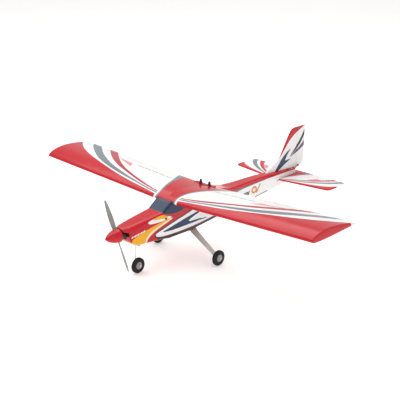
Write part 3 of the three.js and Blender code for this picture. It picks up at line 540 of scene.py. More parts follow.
def wood(name, light, dark, along=(1, 14, 14), scale=26, rough=0.62):
    t = Tree(name, rough=rough, spec=0.3)
    v = t.space(along)
    g = t.noise(scale, 8, 0.65, vec=v)
    c = t.mix(t.ramp(g, 0.35, 0.68), light, dark)
    pores = t.noise(scale * 22, 3, 0.5, vec=v)
    c = t.mix(t.ramp(pores, 0.55, 0.75, 0, 0.45), c, tuple(x * 0.55 for x in dark))
    return t.done(c, t.ramp(pores, 0.3, 0.7, rough - 0.08, rough + 0.12), t.bump(pores, 0.00012, 0.6))


def rubber(name):
    t = Tree(name, rough=0.8, spec=0.3)
    a = t.noise(120, 6, 0.6)
    c = t.mix(t.ramp(a, 0.35, 0.7), (0.010, 0.010, 0.011), (0.030, 0.030, 0.031))
    dust = t.ramp(t.noise(38, 5), 0.52, 0.75, 0, 0.25)
    c = t.mix(dust, c, (0.085, 0.08, 0.072))
    return t.done(c, t.ramp(a, 0.3, 0.7, 0.68, 0.92), t.bump(t.noise(1500, 3), 0.00008, 0.8))


def webbing(name, colour):
    t = Tree(name, rough=0.9, spec=0.2)
    v = t.space()
    w1 = t.n("ShaderNodeTexWave", wave_type="BANDS", bands_direction="X")
    w1.inputs["Scale"].default_value = 260
    w1.inputs["Distortion"].default_value = 0.6
    t.link(v, w1.inputs["Vector"])
    w2 = t.n("ShaderNodeTexWave", wave_type="BANDS", bands_direction="Y")
    w2.inputs["Scale"].default_value = 260
    w2.inputs["Distortion"].default_value = 0.6
    t.link(v, w2.inputs["Vector"])
    m = t.math("MULTIPLY", w1.outputs["Fac"], w2.outputs["Fac"])
    c = t.mix(m, tuple(x * 0.55 for x in colour), tuple(x * 1.35 for x in colour))
    return t.done(c, t.ramp(m, 0, 1, 0.85, 0.97), t.bump(m, 0.0003, 0.8))


M = {
    "ply": wood("plywood", (0.62, 0.43, 0.22), (0.40, 0.24, 0.10), along=(12, 1.2, 12)),
    "black": plastic("black_nylon", (0.020, 0.020, 0.023), 0.42, vary=0.25),
    "servo": plastic("servo_case", (0.018, 0.019, 0.022), 0.36, vary=0.25),
    "nylon": plastic("white_nylon", (0.74, 0.73, 0.70), 0.4),
    "prop": plastic("propeller_nylon", (0.235, 0.24, 0.23), 0.36, grain=1400, vary=0.10),
    "hub": plastic("hub_nylon", (0.50, 0.50, 0.50), 0.38, vary=0.10, coat=0.1),
    "receiver": plastic("receiver_case", (0.12, 0.13, 0.14), 0.45, vary=0.15),
    "wrap": plastic("pack_wrap", (0.025, 0.075, 0.22), 0.26, grain=120, depth=0.0004, coat=0.25, vary=0.15),
    "label": plastic("pack_label", (0.62, 0.62, 0.60), 0.4, vary=0.06),
    "tyre": rubber("tyre_rubber"),
    "strap": metal("gear_strap", (0.60, 0.585, 0.55), 0.36, stretch=(1, 20, 1), scale=60, metallic=0.85),
    "steel": metal("spring_wire", (0.62, 0.62, 0.63), 0.27, stretch=(6, 6, 1), scale=120),
    "bolt": metal("screw_steel", (0.10, 0.10, 0.105), 0.34, scale=400),
    "nut": metal("plated_steel", (0.66, 0.65, 0.62), 0.24, scale=400),
    "motor": metal("motor_case", (0.055, 0.057, 0.062), 0.33, stretch=(1, 14, 1), scale=160),
    "copper": metal("winding_copper", (0.58, 0.22, 0.09), 0.33, scale=500),
    "tube": plastic("rod_tube", (0.34, 0.012, 0.016), 0.4, vary=0.15),
    "web": webbing("hook_webbing", (0.05, 0.05, 0.058)),
    # firewall made near black: painted shade of the dark opening behind the cowl
    "bay": plastic("bay_painted_shade", (0.022, 0.006, 0.007), 0.5, grain=300, vary=0.2),
    "joiner": metal("joiner_bar", (0.78, 0.78, 0.79), 0.28, stretch=(1, 12, 12), scale=60),
    "lead_red": plastic("lead_red", (0.50, 0.02, 0.02), 0.42),
    "lead_black": plastic("lead_black", (0.015, 0.015, 0.017), 0.45),
    "inner": wood("bare_sheet", (0.74, 0.60, 0.40), (0.60, 0.45, 0.27), along=(12, 1.0, 12), scale=20),
}
SPIN_RED = covering("spinner_gloss", RED, [], rough=0.13, grain=(20, 20, 20))

# ------------------------------------------------------------------ trim areas, and a band of painted shade on the lower fuselage
# Fuselage side view, (y, z).
BULLET_UP = smooth_curve([(-407, 166.5), (-392, 174.4), (-339, 187.5), (-285, 200.5), (-231, 212), (-190, 221.5), (-120, 237), (-43, 251), (10, 250), (60, 243), (100, 236.4), (180, 236), (300, 236)])
BULLET_LO = smooth_curve([(-407, 166.5), (-400, 158), (-378, 152.2), (-340, 148.5), (-285, 147), (-203, 148.5), (-118, 154), (-39, 161), (40, 160), (110, 152), (150, 140)])
BULLET = BULLET_UP + [(420, 236), (700, 236), (700, 100), (170, 100)] + BULLET_LO[::-1][:-1]
# Lower side below the white, down to the bottom edge: painted charcoal as the shade of the fuselage's lower rounding
LOW_SIDE_SHADE = [(-397, 166), (-392, 100), (178, 100), (150, 156), (-300, 160)]
ARROW = [(-372, 169), *smooth_curve([(-312, 180.5), (-258, 191), (-203, 200.5), (-150, 209), (-112, 214.5)]), *smooth_curve([(-147, 201), (-189, 190), (-226, 173.8)]), *smooth_curve([(-175, 174.2), (-130, 171), (-78, 165)])[0:], *smooth_curve([(-104, 165.2), (-150, 165.4), (-203, 164.6), (-258, 163.8), (-312, 164)])]
FLAME_UP = smooth_curve([(-533, 175), (-512, 185.5), (-481, 194.5), (-455, 201), (-429, 206.5), (-401, 211), (-365, 217), (-330, 221), (-300, 222.5)])
FLAME_IN = smooth_curve([(-300, 222.5), (-345, 211.5), (-386, 201), (-419, 191), (-444, 178), (-457.5, 165), (-463, 152), (-465, 130)])
FLAME = FLAME_UP + FLAME_IN[1:] + [(-465, 100), (-529, 100), (-529, 160)]
FLAME2_IN = smooth_curve([(-286, 223.5), (-337, 207), (-378, 195.5), (-410, 184), (-434, 171.5), (-448, 160), (-454, 149), (-457, 128)])
FLAME2 = FLAME_UP + FLAME2_IN + [(-457, 100), (-529, 100), (-529, 160)]
TEAR = smooth_curve([(-448, 230.5), (-438, 223), (-403, 219.2), (-370, 218.6), (-344, 220), (-306, 224.5)]) + smooth_curve([(-306, 224.5), (-339, 235), (-362, 244.5), (-383, 245.5), (-421, 239.5), (-445, 234.5), (-448, 230.5)])[1:-1]
TEAR_Y = smooth_curve([(-425, 238.6), (-400, 233), (-372, 230), (-350, 227), (-325, 229)]) + smooth_curve([(-325, 229), (-339, 235), (-362, 244.5), (-383, 245.5), (-425, 238.6)])[1:-1]
WINDOW = [(-363.5, 255), *smooth_curve([(-357, 251), (-339, 244.2), (-307, 238.2), (-272, 237.2), (-240, 243.5), (-205, 258), (-165, 279)]), (-150, 320), (-340, 320), (-372, 262)]
GREY_EDGE = smooth_curve([(-40, 262), (10, 252), (60, 244), (100, 238.5), (180, 237.5), (330, 237)]) + smooth_curve([(330, 234.6), (180, 231), (110, 226.5), (66, 230), (20, 240), (-40, 254)])
DASHES = [[(-538 + 15.5 * i, 183.5 + 3.2 * i), (-529.5 + 15.5 * i, 185.2 + 3.2 * i), (-525.5 + 15.5 * i, 192.6 + 2.9 * i), (-534 + 15.5 * i, 190.9 + 2.9 * i)] for i in range(5)]
TAIL_MARK_A = [[(158 + 13 * i, 184 + 0.6 * i), (164 + 13 * i, 184.4 + 0.6 * i), (176 + 13 * i, 207 + 0.4 * i), (170 + 13 * i, 206.6 + 0.4 * i)] for i in range(4)]
TAIL_RING = [(248 + 21 * math.cos(a), 205.5 + 17.5 * math.sin(a)) for a in np.linspace(0, 2 * math.pi, 40, endpoint=False)]
TAIL_RING_IN = [(248 + 11.5 * math.cos(a), 205.5 + 8.5 * math.sin(a)) for a in np.linspace(0, 2 * math.pi, 40, endpoint=False)]
TAIL_BAR = [(262, 187), (272, 187), (298, 226), (288, 226)]
LOW_LINE = [(256, 150), (352, 158), (352, 178.5), (256, 170.5)]

# Fin and rudder, (y, z).
FIN_RED = smooth_curve([(452, 303), (462, 313), (497, 351), (528, 382), (566, 407), (612, 426), (652, 439.5)]) + [(652, 470), (430, 470), (430, 300)]
FIN_ARROW = [(421, 246), *smooth_curve([(450, 278), (474, 303), (508, 327), (540, 342)]), (512, 312), (497, 288), *smooth_curve([(512, 289), (528, 289.5), (545, 290)]), *smooth_curve([(500, 272), (456, 251), (440, 244)])]
FIN_L1 = [(529, 299), *smooth_curve([(569, 334), (606, 371), (633, 404), (650, 431)]), (650, 398), *smooth_curve([(629, 372), (611, 351), (569, 320.5)])]
FIN_L2 = [(531, 295), *smooth_curve([(575, 323), (612, 341), (640, 361), (650, 371)]), (650, 342), *smooth_curve([(638, 335), (612, 322.5), (580, 311)])]

# Wing panel plan, (distance from the centre, y).
W_RED = [(72, -330), (70, -302), (70, -298.5), *smooth_curve([(120, -294), (203, -287.5), (290, -278.5), (372, -266), (455, -248), (548, -224), (616, -201), (683, -170), (749, -126), (806, -74)]), (830, -60), (830, -330)]
W_GREY = smooth_curve([(66, -293.5), (140, -288.5), (200, -281.5), (290, -270.5), (376, -257), (466, -236), (548, -204), (640, -147), (726, -79), (768, -30)]) + smooth_curve([(704, -30), (692, -54), (586, -138), (479, -199), (404, -229), (302, -255), (200, -273), (140, -281), (66, -287)])
W_RED2 = smooth_curve([(70, -285), (150, -277), (223, -263), (309, -240), (405, -208), (506, -153), (611, -71), (655, -25)]) + smooth_curve([(594, -25), (569, -58), (455, -150), (367, -202), (284, -234), (197, -257.5), (130, -271.5), (70, -279.5)])
W_TRI = [(510, -105), (456, -123), (390, -131), (356, -176), (440, -144)]
W_PIN = [[(128 + 46 * i, -139.5 + 1.2 * i), (168 + 46 * i, -138.5 + 1.2 * i), (168 + 46 * i, -132.8 + 1.2 * i), (128 + 46 * i, -133.8 + 1.2 * i)] for i in range(5)]
TRIM_GREY = [(-20, -340), (58, -340), *smooth_curve([(58, -303), (60, -282), (69, -250), (91, -195), (120, -132), (149, -82), (172, -30)]), (-20, -30)]
TRIM_RED = [(-20, -340), (51, -340), *smooth_curve([(51, -303), (52.5, -282), (60.5, -250), (80, -195), (103, -132), (122, -82), (136, -30)]), (-20, -30)]

# Tailplane plan, (distance from the centre, y).
S_RED = smooth_curve([(14, 437), (84, 450), (140, 463), (195, 479), (240, 498), (268, 518), (290, 548)]) + [(310, 540), (310, 420), (10, 420)]
S_GREY = smooth_curve([(26, 441), (75, 455), (120, 471), (170, 496), (220, 531), (256, 567), (276, 600), (284, 630)]) + smooth_curve([(258, 630), (252, 608), (235, 577), (204, 543), (160, 508), (115, 481), (72, 462), (26, 445)])
S_RED2 = smooth_curve([(30, 449), (80, 470), (117, 490), (160, 519), (196, 554), (228, 594), (246, 630)]) + smooth_curve([(216, 630), (205, 602), (179, 562), (144, 526), (107, 497), (74, 477), (30, 453)])
S_TRI = [(176, 560), (150, 566), (120, 516), (150, 530)]
S_ROOT = [(-5, 430), (14, 430), *smooth_curve([(16, 440), (24, 480), (36, 520), (54, 570), (78, 622)]), (-5, 622)]
S_ROOT_G = [(-5, 430), (16, 430), *smooth_curve([(19, 440), (29, 480), (43, 520), (66, 570), (96, 622)]), (-5, 622)]


def side_view(poly):
    return lambda P: area_distance(P[:, [1, 2]], poly)


def side_many(polys):
    return lambda P: np.max([area_distance(P[:, [1, 2]], p) for p in polys], axis=0)


def plan(poly, top_only=None):
    def f(P):
        d = area_distance(np.column_stack([np.abs(P[:, 0]), P[:, 1]]), poly)
        return d
    return f


def along(poly, side, upper_only=False):
    """Areas given along a panel, from its plan."""
    inv = np.linalg.inv(np.array(wing_matrix(side)))

    def f(P):
        q = P @ inv[:3, :3].T + inv[:3, 3]
        d = area_distance(np.column_stack([q[:, 0] * side, q[:, 1]]), poly)
        if upper_only:
            c = CHORD * camber(np.clip((q[:, 1] - WING_LE) / CHORD, 0, 1))
            d = np.minimum(d, (q[:, 2] - c) * 3 + 0.6)
        return d
    return f


def along_many(polys, side):
    fs = [along(p, side, True) for p in polys]
    return lambda P: np.max([f(P) for f in fs], axis=0)


SIDE_MASKS = {
    # charcoal: a printed 6.5 mm outline around the white, plus painted shade over the low side band
    "a_outline_and_shade": lambda P: np.maximum(area_distance(P[:, [1, 2]], BULLET) + 6.5, area_distance(P[:, [1, 2]], LOW_SIDE_SHADE)),
    "a_white": side_view(BULLET),
    "a_navy": lambda P: area_distance(P[:, [1, 2]], ARROW) + 0.8,
    "a_flame2": side_view(FLAME2),
    "a_flame": side_view(FLAME),
    "a_tear": side_view(TEAR),
    "a_teary": side_view(TEAR_Y),
    "a_rim": lambda P: area_distance(P[:, [1, 2]], WINDOW) + 1.6,
    "a_win": side_view(WINDOW),
    "a_edge": side_view(GREY_EDGE),
    "a_dash": lambda P: side_many(DASHES)(P) + 0.8,
    "a_ink": lambda P: np.max([side_many(TAIL_MARK_A)(P) + 1.2, area_distance(P[:, [1, 2]], LOW_LINE), 3.6 - np.hypot(P[:, 1] - 428, P[:, 2] - 206)], axis=0),
    "a_cream": side_view(TAIL_RING),
    "a_ring": lambda P: np.maximum(np.minimum(area_distance(P[:, [1, 2]], TAIL_RING), -area_distance(P[:, [1, 2]], TAIL_RING_IN)), area_distance(P[:, [1, 2]], TAIL_BAR)),
}
SIDE_FILM = covering("film_side", RED, [
    ("a_outline_and_shade", CHAR), ("a_white", WHITE), ("a_navy", NAVY), ("a_flame2", PALE), ("a_flame", YELLOW),
    ("a_tear", WHITE), ("a_teary", YELLOW), ("a_rim", MAUVE), ("a_win", GLASS), ("a_edge", GREY), ("a_dash", WHITE), ("a_ink", INK), ("a_cream", PALE), ("a_ring", ORANGE),
], grain=(60, 3, 60))
BOTTOM_MASKS = {"a_flame2": lambda P: area_distance(P[:, [1, 2]], FLAME2), "a_flame": side_view(FLAME),
                # belly: the stripe ahead of the white is the printed outline; the rounded corners beyond 33 mm from
                # the centre are painted charcoal as shade
                "a_outline_and_shade": lambda P: np.maximum(P[:, 1] - 108 - 0.012 * P[:, 0] ** 2 + 5, np.minimum(np.abs(P[:, 0]) - 33, P[:, 1] + 394)), "a_white": lambda P: P[:, 1] - 108 - 0.012 * P[:, 0] ** 2, "a_ink": side_view(LOW_LINE)}
BOTTOM_FILM = covering("film_bottom", RED, [("a_outline_and_shade", CHAR), ("a_white", WHITE), ("a_flame2", PALE), ("a_flame", YELLOW), ("a_ink", INK)], grain=(60, 3, 60))
HATCH_MASKS = {"a_rim": SIDE_MASKS["a_rim"], "a_win": SIDE_MASKS["a_win"],
               "a_tear": lambda P: np.minimum(area_distance(P[:, [1, 2]], TEAR), np.abs(P[:, 0]) - 30),
               "a_teary": lambda P: np.minimum(area_distance(P[:, [1, 2]], TEAR_Y), np.abs(P[:, 0]) - 30)}
HATCH_FILM = covering("film_hatch", RED, [("a_tear", WHITE), ("a_teary", YELLOW), ("a_rim", MAUVE), ("a_win", GLASS)], grain=(60, 3, 60))
RED_FILM = covering("film_red", RED, [], grain=(60, 3, 60))


def wing_masks(side):
    return {
        "w_red": along(W_RED, side), "w_grey": along(W_GREY, side, True), "w_red2": along(W_RED2, side, True),
        "w_tri": along(W_TRI, side, True), "w_pin": along_many(W_PIN, side), "w_trimg": along(TRIM_GREY, side), "w_trim": along(TRIM_RED, side),
    }


WING_FILM = covering("film_wing", WHITE, [("w_red", RED), ("w_grey", GREY), ("w_red2", DULL_RED), ("w_tri", PINK), ("w_pin", GREY), ("w_trimg", GREY), ("w_trim", RED)], grain=(3, 60, 60))
FIN_MASKS = {"f_red": side_view(FIN_RED), "f_arrow": side_view(FIN_ARROW), "f_l1": side_view(FIN_L1), "f_l2": side_view(FIN_L2)}
FIN_FILM = covering("film_fin", WHITE, [("f_red", RED), ("f_arrow", NAVY), ("f_l1", INK), ("f_l2", MAUVE)], grain=(60, 60, 3))
STAB_MASKS = {"s_red": plan(S_RED), "s_grey": plan(S_GREY), "s_red2": plan(S_RED2), "s_tri": plan(S_TRI), "s_rootg": plan(S_ROOT_G), "s_root": plan(S_ROOT)}
STAB_FILM = covering("film_stab", WHITE, [("s_red", RED), ("s_grey", GREY), ("s_red2", RED), ("s_tri", PINK), ("s_rootg", GREY), ("s_root", RED)], grain=(3, 60, 60))


# ------------------------------------------------------------------ fuselage
def outline(st):
    """Half section from top centre to bottom centre, then mirrored: list of (x, z)."""
    w, zb, zt, rb, rt = st
    pts = [((w - rt) * i / 6, zt) for i in range(6)]
    for i in range(8):
        a = math.radians(90 * i / 7)
        pts.append((w - rt + rt * math.sin(a), zt - rt + rt * math.cos(a)))
    za, zc = zt - rt, zb + rb
    for i in range(1, 22):
        pts.append((w, za + (zc - za) * i / 22))
    for i in range(8):
        a = math.radians(90 + 90 * i / 7)
        pts.append((w - rb + rb * math.sin(a), zb + rb + rb * math.cos(a)))
    for i in range(1, 6):
        pts.append(((w - rb) * (1 - i / 6), zb))
    pts.append((0, zb))
    return pts + [(-x, z) for x, z in pts[1:-1]][::-1]


def row_ys(y0, y1, step, extra=()):
    ys = set(np.round(np.arange(y0, y1, step), 3)) | {y0, y1} | {e for e in extra if y0 < e < y1}
    ys = sorted(ys)
    keep = [ys[0]]
    ex = set(extra) | {y0, y1}
    for y in ys[1:]:
        if y - keep[-1] < 1.2 and y not in ex:
            continue
        if y - keep[-1] < 1.2 and keep[-1] not in ex:
            keep[-1] = y
            continue
        keep.append(y)
    return keep


def sheet_bm(rows, section_of):
    bm = bmesh.new()
    ring = []
    for y in rows:
        ring.append([bm.verts.new((x, y, z)) for x, z in section_of(y)])
    n = len(ring[0])
    for i in range(len(ring) - 1):
        for j in range(n):
            k = (j + 1) % n
            bm.faces.new((ring[i][j], ring[i][k], ring[i + 1][k], ring[i + 1][j]))
    bmesh.ops.recalc_face_normals(bm, faces=bm.faces)
    return bm


def slice_along(bm, line, gap):
    """Cuts the sheet along a side-view line, twice, so that a seam of that gap can be dropped."""
    for (y0, z0), (y1, z1) in zip(line[:-1], line[1:]):
        nrm = Vector((0, -(z1 - z0), y1 - y0)).normalized()
        for off in (-gap / 2, gap / 2):
            fs = [f for f in bm.faces if y0 - 1e-4 < f.calc_center_median().y < y1 + 1e-4]
            es = {e for f in fs for e in f.edges}
            vs = {v for f in fs for v in f.verts}
            bmesh.ops.bisect_plane(bm, geom=fs + list(es) + list(vs), dist=1e-5, plane_co=Vector((0, y0, z0 + off)), plane_no=nrm)


def region(bm, keep):
    """A copy of the sheet with only the faces for which keep(centre) is true, in metres."""
    out = bm.copy()
    gone = [f for f in out.faces if not keep(f.calc_center_median())]
    bmesh.ops.delete(out, geom=gone, context="FACES")
    bmesh.ops.scale(out, vec=(MM, MM, MM), verts=out.verts)
    return out


G = 0.3  # seam
bottom_line = [(s[0], s[2] + s[4] - 1) for s in STATIONS]
saddle_line = [(WING_LE - 1, WING_Z - 9)] + [(float(y), float(WING_Z + lower(y) - 0.6)) for y in np.linspace(WING_LE + 1.5, WING_TE, 22)]
special = [s[0] for s in STATIONS] + [-449.8, -449.35, -310.15, -309.85, -43.5, -43.1, 452.0, 552.0] + [p[0] for p in HATCH_LINE + DECK_LINE] + [p[0] for p in saddle_line]
rows = row_ys(-545.5, 569.5, 5.0, special)
body_sheet = sheet_bm(rows, lambda y: outline(station(y)))
for line in (bottom_line, COWL_LINE, [(-449.35, 227.97)] + HATCH_LINE[1:], saddle_line, DECK_LINE):
    slice_along(body_sheet, line, G)


def where(c):
    x, y, z = c
    zb = lineat(bottom_line, y)
    if z < zb - G / 2:
        return "bottom"
    if z < zb + G / 2:
        return None
    if y < -449.6:
        top = lineat(COWL_LINE, y)
        return "side" if z < top - G / 2 else None
    if y < -310:
        top = lineat(HATCH_LINE, y)
        return "side" if z < top - G / 2 else ("hatch" if z > top + G / 2 else None)
    if y < -43.3:
        return "side" if z < lineat(saddle_line, y) - G / 2 else None
    top = lineat(DECK_LINE, y)
    return "side" if z < top - G / 2 else ("deck" if z > top + G / 2 else None)


def skin(name, keep, body, film, masks, replaces, wall=WALL):
    ob = from_bm(name, region(body_sheet, keep), film)
    thicken(ob, wall)
    ob.data.materials.append(M["inner"])
    finish_piece(ob, body, replaces, sharp=32, masks=masks)
    return ob


skin("skin_side_left", lambda c: where(c) == "side" and c.x > 0, "airframe", SIDE_FILM, SIDE_MASKS, ("fuselage_side_left",))
skin("skin_side_right", lambda c: where(c) == "side" and c.x < 0, "airframe", SIDE_FILM, SIDE_MASKS, ("fuselage_side_right",))
skin("skin_bottom", lambda c: where(c) == "bottom" and not (abs(c.y - NOSE_Y) < 5.5 and abs(c.x) < 9 and c.z < 160), "airframe", BOTTOM_FILM, BOTTOM_MASKS, ("fuselage_bottom",))
skin("skin_hatch", lambda c: where(c) == "hatch", "hatch", HATCH_FILM, HATCH_MASKS, ("battery_hatch",), wall=2.4)
skin("skin_deck", lambda c: where(c) == "deck" and not (8 < c.x < 20 and 500 < c.y < 545 and c.z > 238), "airframe", RED_FILM, None, ("rear_top_deck",))
body_sheet.free()

# Nose cowl: its round front grows back into the body's section.
cowl_st = [(-572.2, 31.6, 150, 231.6, 20, 30.5), (-566, 33.4, 150, 232.1, 17, 27.6), (-560, 35, 150, 232.5, 14, 25)] + [(s[0], s[1], 150, s[3], 14, s[5]) for s in STATIONS[:8]]
cowl_a = np.array(cowl_st, float)


def cowl_section(y):
    return outline([float(pchip(y, cowl_a[:, 0], cowl_a[:, k])) for k in range(1, 6)])


cow = sheet_bm(row_ys(-572.2, -449.8, 3.0, [p[0] for p in COWL_FULL]), cowl_section)
slice_along(cow, [(-572.2, float(lineat(COWL_FULL, -572.2)))] + [p for p in COWL_FULL if p[0] > -572], G)
ob = from_bm("skin_cowl", region(cow, lambda c: c.z > lineat(COWL_FULL, c.y) + G / 2), RED_FILM)
cow.free()
thicken(ob, 2.0, bevel=0.5)
finish_piece(ob, "airframe", ("nose_cowl",), sharp=32)


# ------------------------------------------------------------------ wing
def edge_steps(lo, hi, step, fine):
    """Positions from lo to hi, closer together near the ends named in fine."""
    near = [0.0, 0.06, 0.22, 0.5, 0.95, 1.6, 2.6, 4.2]
    pts = set()
    a, b = lo, hi
    if "lo" in fine:
        pts |= {lo + n for n in near}
        a = lo + near[-1]
    if "hi" in fine:
        pts |= {hi - n for n in near}
        b = hi - near[-1]
    k = max(1, int(round((b - a) / step)))
    pts |= {a + (b - a) * i / k for i in range(k + 1)}
    return sorted(pts)


def round_off(d, r):
    return np.sqrt(np.clip(1 - (1 - np.clip(d / r, 0, 1)) ** 2, 0, 1))


def sag(s, y, top):
    """Film drawn in slightly between the ribs, behind the sheeted nose."""
    bay_ = 1 - np.abs(np.sin(np.pi * s / 66.0)) ** 0.35
    a = np.clip((y + 222) / 14, 0, 1) * np.clip((-98 - y) / 10, 0, 1)
    return 0.45 * (1 - bay_) * a * np.clip(s / 70 - 1, 0, 1) * np.clip((772 - s) / 10, 0, 1)


def slab_grid(name, ss, ys, place, topz, lowz, present, side, body, film, masks, replaces, merge=0.01):
    """A closed body over a plan grid: cells that are present get a top, a bottom, and walls where the next cell is missing."""
    ns, ny = len(ss), len(ys)
    V, idx = [], {}

    def vert(i, j, k):
        key = (i, j, k)
        if key not in idx:
            s, y = place(ss[i], ys[j])
            z = topz(s, y, ss[i]) if k else lowz(s, y, ss[i])
            idx[key] = len(V)
            V.append((side * s, y, z))
        return idx[key]
    F = []
    for i in range(ns - 1):
        for j in range(ny - 1):
            if not present(i, j):
                continue
            F.append((vert(i, j, 1), vert(i + 1, j, 1), vert(i + 1, j + 1, 1), vert(i, j + 1, 1)))
            F.append((vert(i, j, 0), vert(i, j + 1, 0), vert(i + 1, j + 1, 0), vert(i + 1, j, 0)))
            for (di, dj, a, b) in ((-1, 0, (i, j), (i, j + 1)), (1, 0, (i + 1, j), (i + 1, j + 1)), (0, -1, (i, j), (i + 1, j)), (0, 1, (i, j + 1), (i + 1, j + 1))):
                p, q = i + di, j + dj
                if p < 0 or q < 0 or p >= ns - 1 or q >= ny - 1 or not present(p, q):
                    F.append((vert(*a, 0), vert(*b, 0), vert(*b, 1), vert(*a, 1)))
    V = to_wing(np.array(V, float), side)
    return make(name, V, F, body, film, replaces=replaces, masks=masks, merge=merge, sharp=38)


chord_c = [0, 0.0006, 0.0022, 0.0048, 0.0085, 0.0135, 0.02, 0.028, 0.038, 0.05, 0.065, 0.083, 0.104, 0.128]
HINGE_WALL = -86.9
wing_ys = [WING_LE + CHORD * c for c in chord_c]
wing_ys += list(np.linspace(wing_ys[-1], HINGE_WALL, 42)[1:]) + list(np.linspace(HINGE_WALL, WING_TE, 12)[1:])
tip_s = lambda y: 783.7 + (y - WING_LE) / CHORD * 17.1
wing_ss = [0.2 if i == 0 else v for i, v in enumerate(sorted(set(np.round(np.linspace(0.2, AIL_IN, 84), 3)) | set(np.round(np.linspace(AIL_IN, AIL_OUT, 92), 3))))]
wing_ss += [AIL_OUT + 30 * (1 - q) for q in (0.85, 0.7, 0.55, 0.4, 0.27, 0.17, 0.1, 0.055, 0.025, 0.008, 0.0)]


def place_wing(u, y):
    if u <= AIL_OUT:
        return u, y
    return AIL_OUT + (u - AIL_OUT) / 30 * (tip_s(y) - AIL_OUT), y


def wing_top(s, y, u):
    mid = float(CHORD * camber((y - WING_LE) / CHORD))
    f = float(round_off(max(0.0, 800 - u) / 30 * (tip_s(y) - AIL_OUT), 2.4)) if u > AIL_OUT + 10 else 1.0
    return mid + (float(upper(y)) - mid) * f - float(sag(s, y, True))


def wing_low(s, y, u):
    mid = float(CHORD * camber((y - WING_LE) / CHORD))
    f = float(round_off(max(0.0, 800 - u) / 30 * (tip_s(y) - AIL_OUT), 2.4)) if u > AIL_OUT + 10 else 1.0
    return mid + (float(lower(y)) - mid) * f + float(sag(s, y, False))


def in_bay(i, j):
    return wing_ss[i] >= AIL_IN - 0.01 and wing_ss[i + 1] <= AIL_OUT + 0.01 and wing_ys[j] >= HINGE_WALL - 0.01


for word, side in (("left", 1), ("right", -1)):
    masks = wing_masks(side)
    slab_grid("skin_wing_" + word, wing_ss, wing_ys, place_wing, wing_top, wing_low, lambda i, j: not in_bay(i, j), side,
              "airframe", WING_FILM, masks, ("wing_panel_" + word,))
    # Aileron, its nose bevelled about the hinge line.
    a_ys = [-85.6, -84.6, -83.4, -82.2, -81.2] + list(np.linspace(-78.5, WING_TE, 11))
    a_ss = edge_steps(AIL_IN + 0.9, AIL_OUT - 0.9, 4.4, ("lo", "hi"))

    def ail(kind):
        def f(s, y, u):
            mid = float(CHORD * camber((y - WING_LE) / CHORD))
            edge = float(round_off(min(s - AIL_IN - 0.9, AIL_OUT - 0.9 - s), 1.2))
            nose = min(1.0, 0.12 + 0.88 * (y + 85.6) / 4.4)
            full = float(upper(y)) if kind else float(lower(y))
            return mid + (full - mid) * edge * nose
        return f
    slab_grid("skin_aileron_" + word, a_ss, a_ys, lambda u, y: (u, y), ail(1), ail(0), lambda i, j: True, side,
              word + "_aileron", WING_FILM, masks, ("aileron_" + word,))


# ------------------------------------------------------------------ tail
def plate(name, axis, ss, lead, trail, half_at, outline_pts, r_at, body, film, masks, replaces):
    """A flat surface with rounded edges. ss runs along its span; lead and trail give its chord there."""
    near = [0.0, 0.05, 0.2, 0.45, 0.9, 1.6, 2.6, 4.0]
    cols = 30
    V, F = [], []
    grid = []
    pts2 = []
    for s in ss:
        a, b = lead(s), trail(s)
        L = max(b - a, 0.02)
        k = min(1.0, L / 9.0)
        p = [a + n * k for n in near]
        q = [b - n * k for n in near][::-1]
        mid = list(np.linspace(p[-1], q[0], cols)[1:-1])
        row = p + mid + q
        grid.append(row)
        pts2 += [(s, y) for y in row]
    P2 = np.array(pts2, float)
    d = np.maximum(area_distance(P2, outline_pts), 0)
    nc = len(grid[0])
    half = np.array([half_at(s, y) for s, y in P2])
    rr = np.array([r_at(s, y) for s, y in P2])
    h = half * round_off(d, rr)
    for sign in (1, -1):
        for (s, y), t in zip(P2, h):
            V.append((s, y, STAB_Z + sign * t) if axis == "x" else (sign * t, y, s))
    n = len(P2)
    for i in range(len(ss) - 1):
        for j in range(nc - 1):
            a, b, c, e = i * nc + j, (i + 1) * nc + j, (i + 1) * nc + j + 1, i * nc + j + 1
            F.append((a, b, c, e))
            F.append((n + a, n + e, n + c, n + b))
    for j in range(nc - 1):
        for i in (0, len(ss) - 1):
            F.append((i * nc + j, i * nc + j + 1, n + i * nc + j + 1, n + i * nc + j))
    for i in range(len(ss) - 1):
        for j in (0, nc - 1):
            F.append((i * nc + j, (i + 1) * nc + j, n + (i + 1) * nc + j, n + i * nc + j))
    return make(name, np.array(V), F, body, film, replaces=replaces, masks=masks, merge=0.012, sharp=40)


st_lead = lambda s: float(np.interp(abs(s), [0, 26, 262, 274, 281.5, 284], [434.5, 434.5, 470.5, 474, 480, 489]))
tips = [0.0, 0.1, 0.35, 0.8, 1.5, 2.5, 4.2, 6.5, 9.5]
st_ss = sorted({284 - t for t in tips} | {-284 + t for t in tips} | set(np.round(np.linspace(-274, 274, 122), 3)))
st_out = [(0, 434.5), (26, 434.5), (262, 470.5), (274, 474), (281.5, 480), (284, 489), (284, 572.2), (-284, 572.2), (-284, 489), (-281.5, 480), (-274, 474), (-262, 470.5), (-26, 434.5)]
plate("skin_stabilizer", "x", st_ss, st_lead, lambda s: 572.2, lambda s, y: 4.0, st_out, lambda s, y: 4.0 if y < 560 else 2.0,
      "airframe", STAB_FILM, STAB_MASKS, ("horizontal_stabilizer",))
el_trail = lambda s: float(np.interp(abs(s), [0, 272, 281, 284], [616.5, 616.5, 604, 596.5]))
el_out = [(-284, 573.9), (284, 573.9), (284, 596.5), (281, 604), (272, 616.5), (-272, 616.5), (-281, 604), (-284, 596.5)]
el_half = lambda s, y: float(np.interp(y, [573.9, 577, 616.5], [3.75, 3.75, 1.5]))
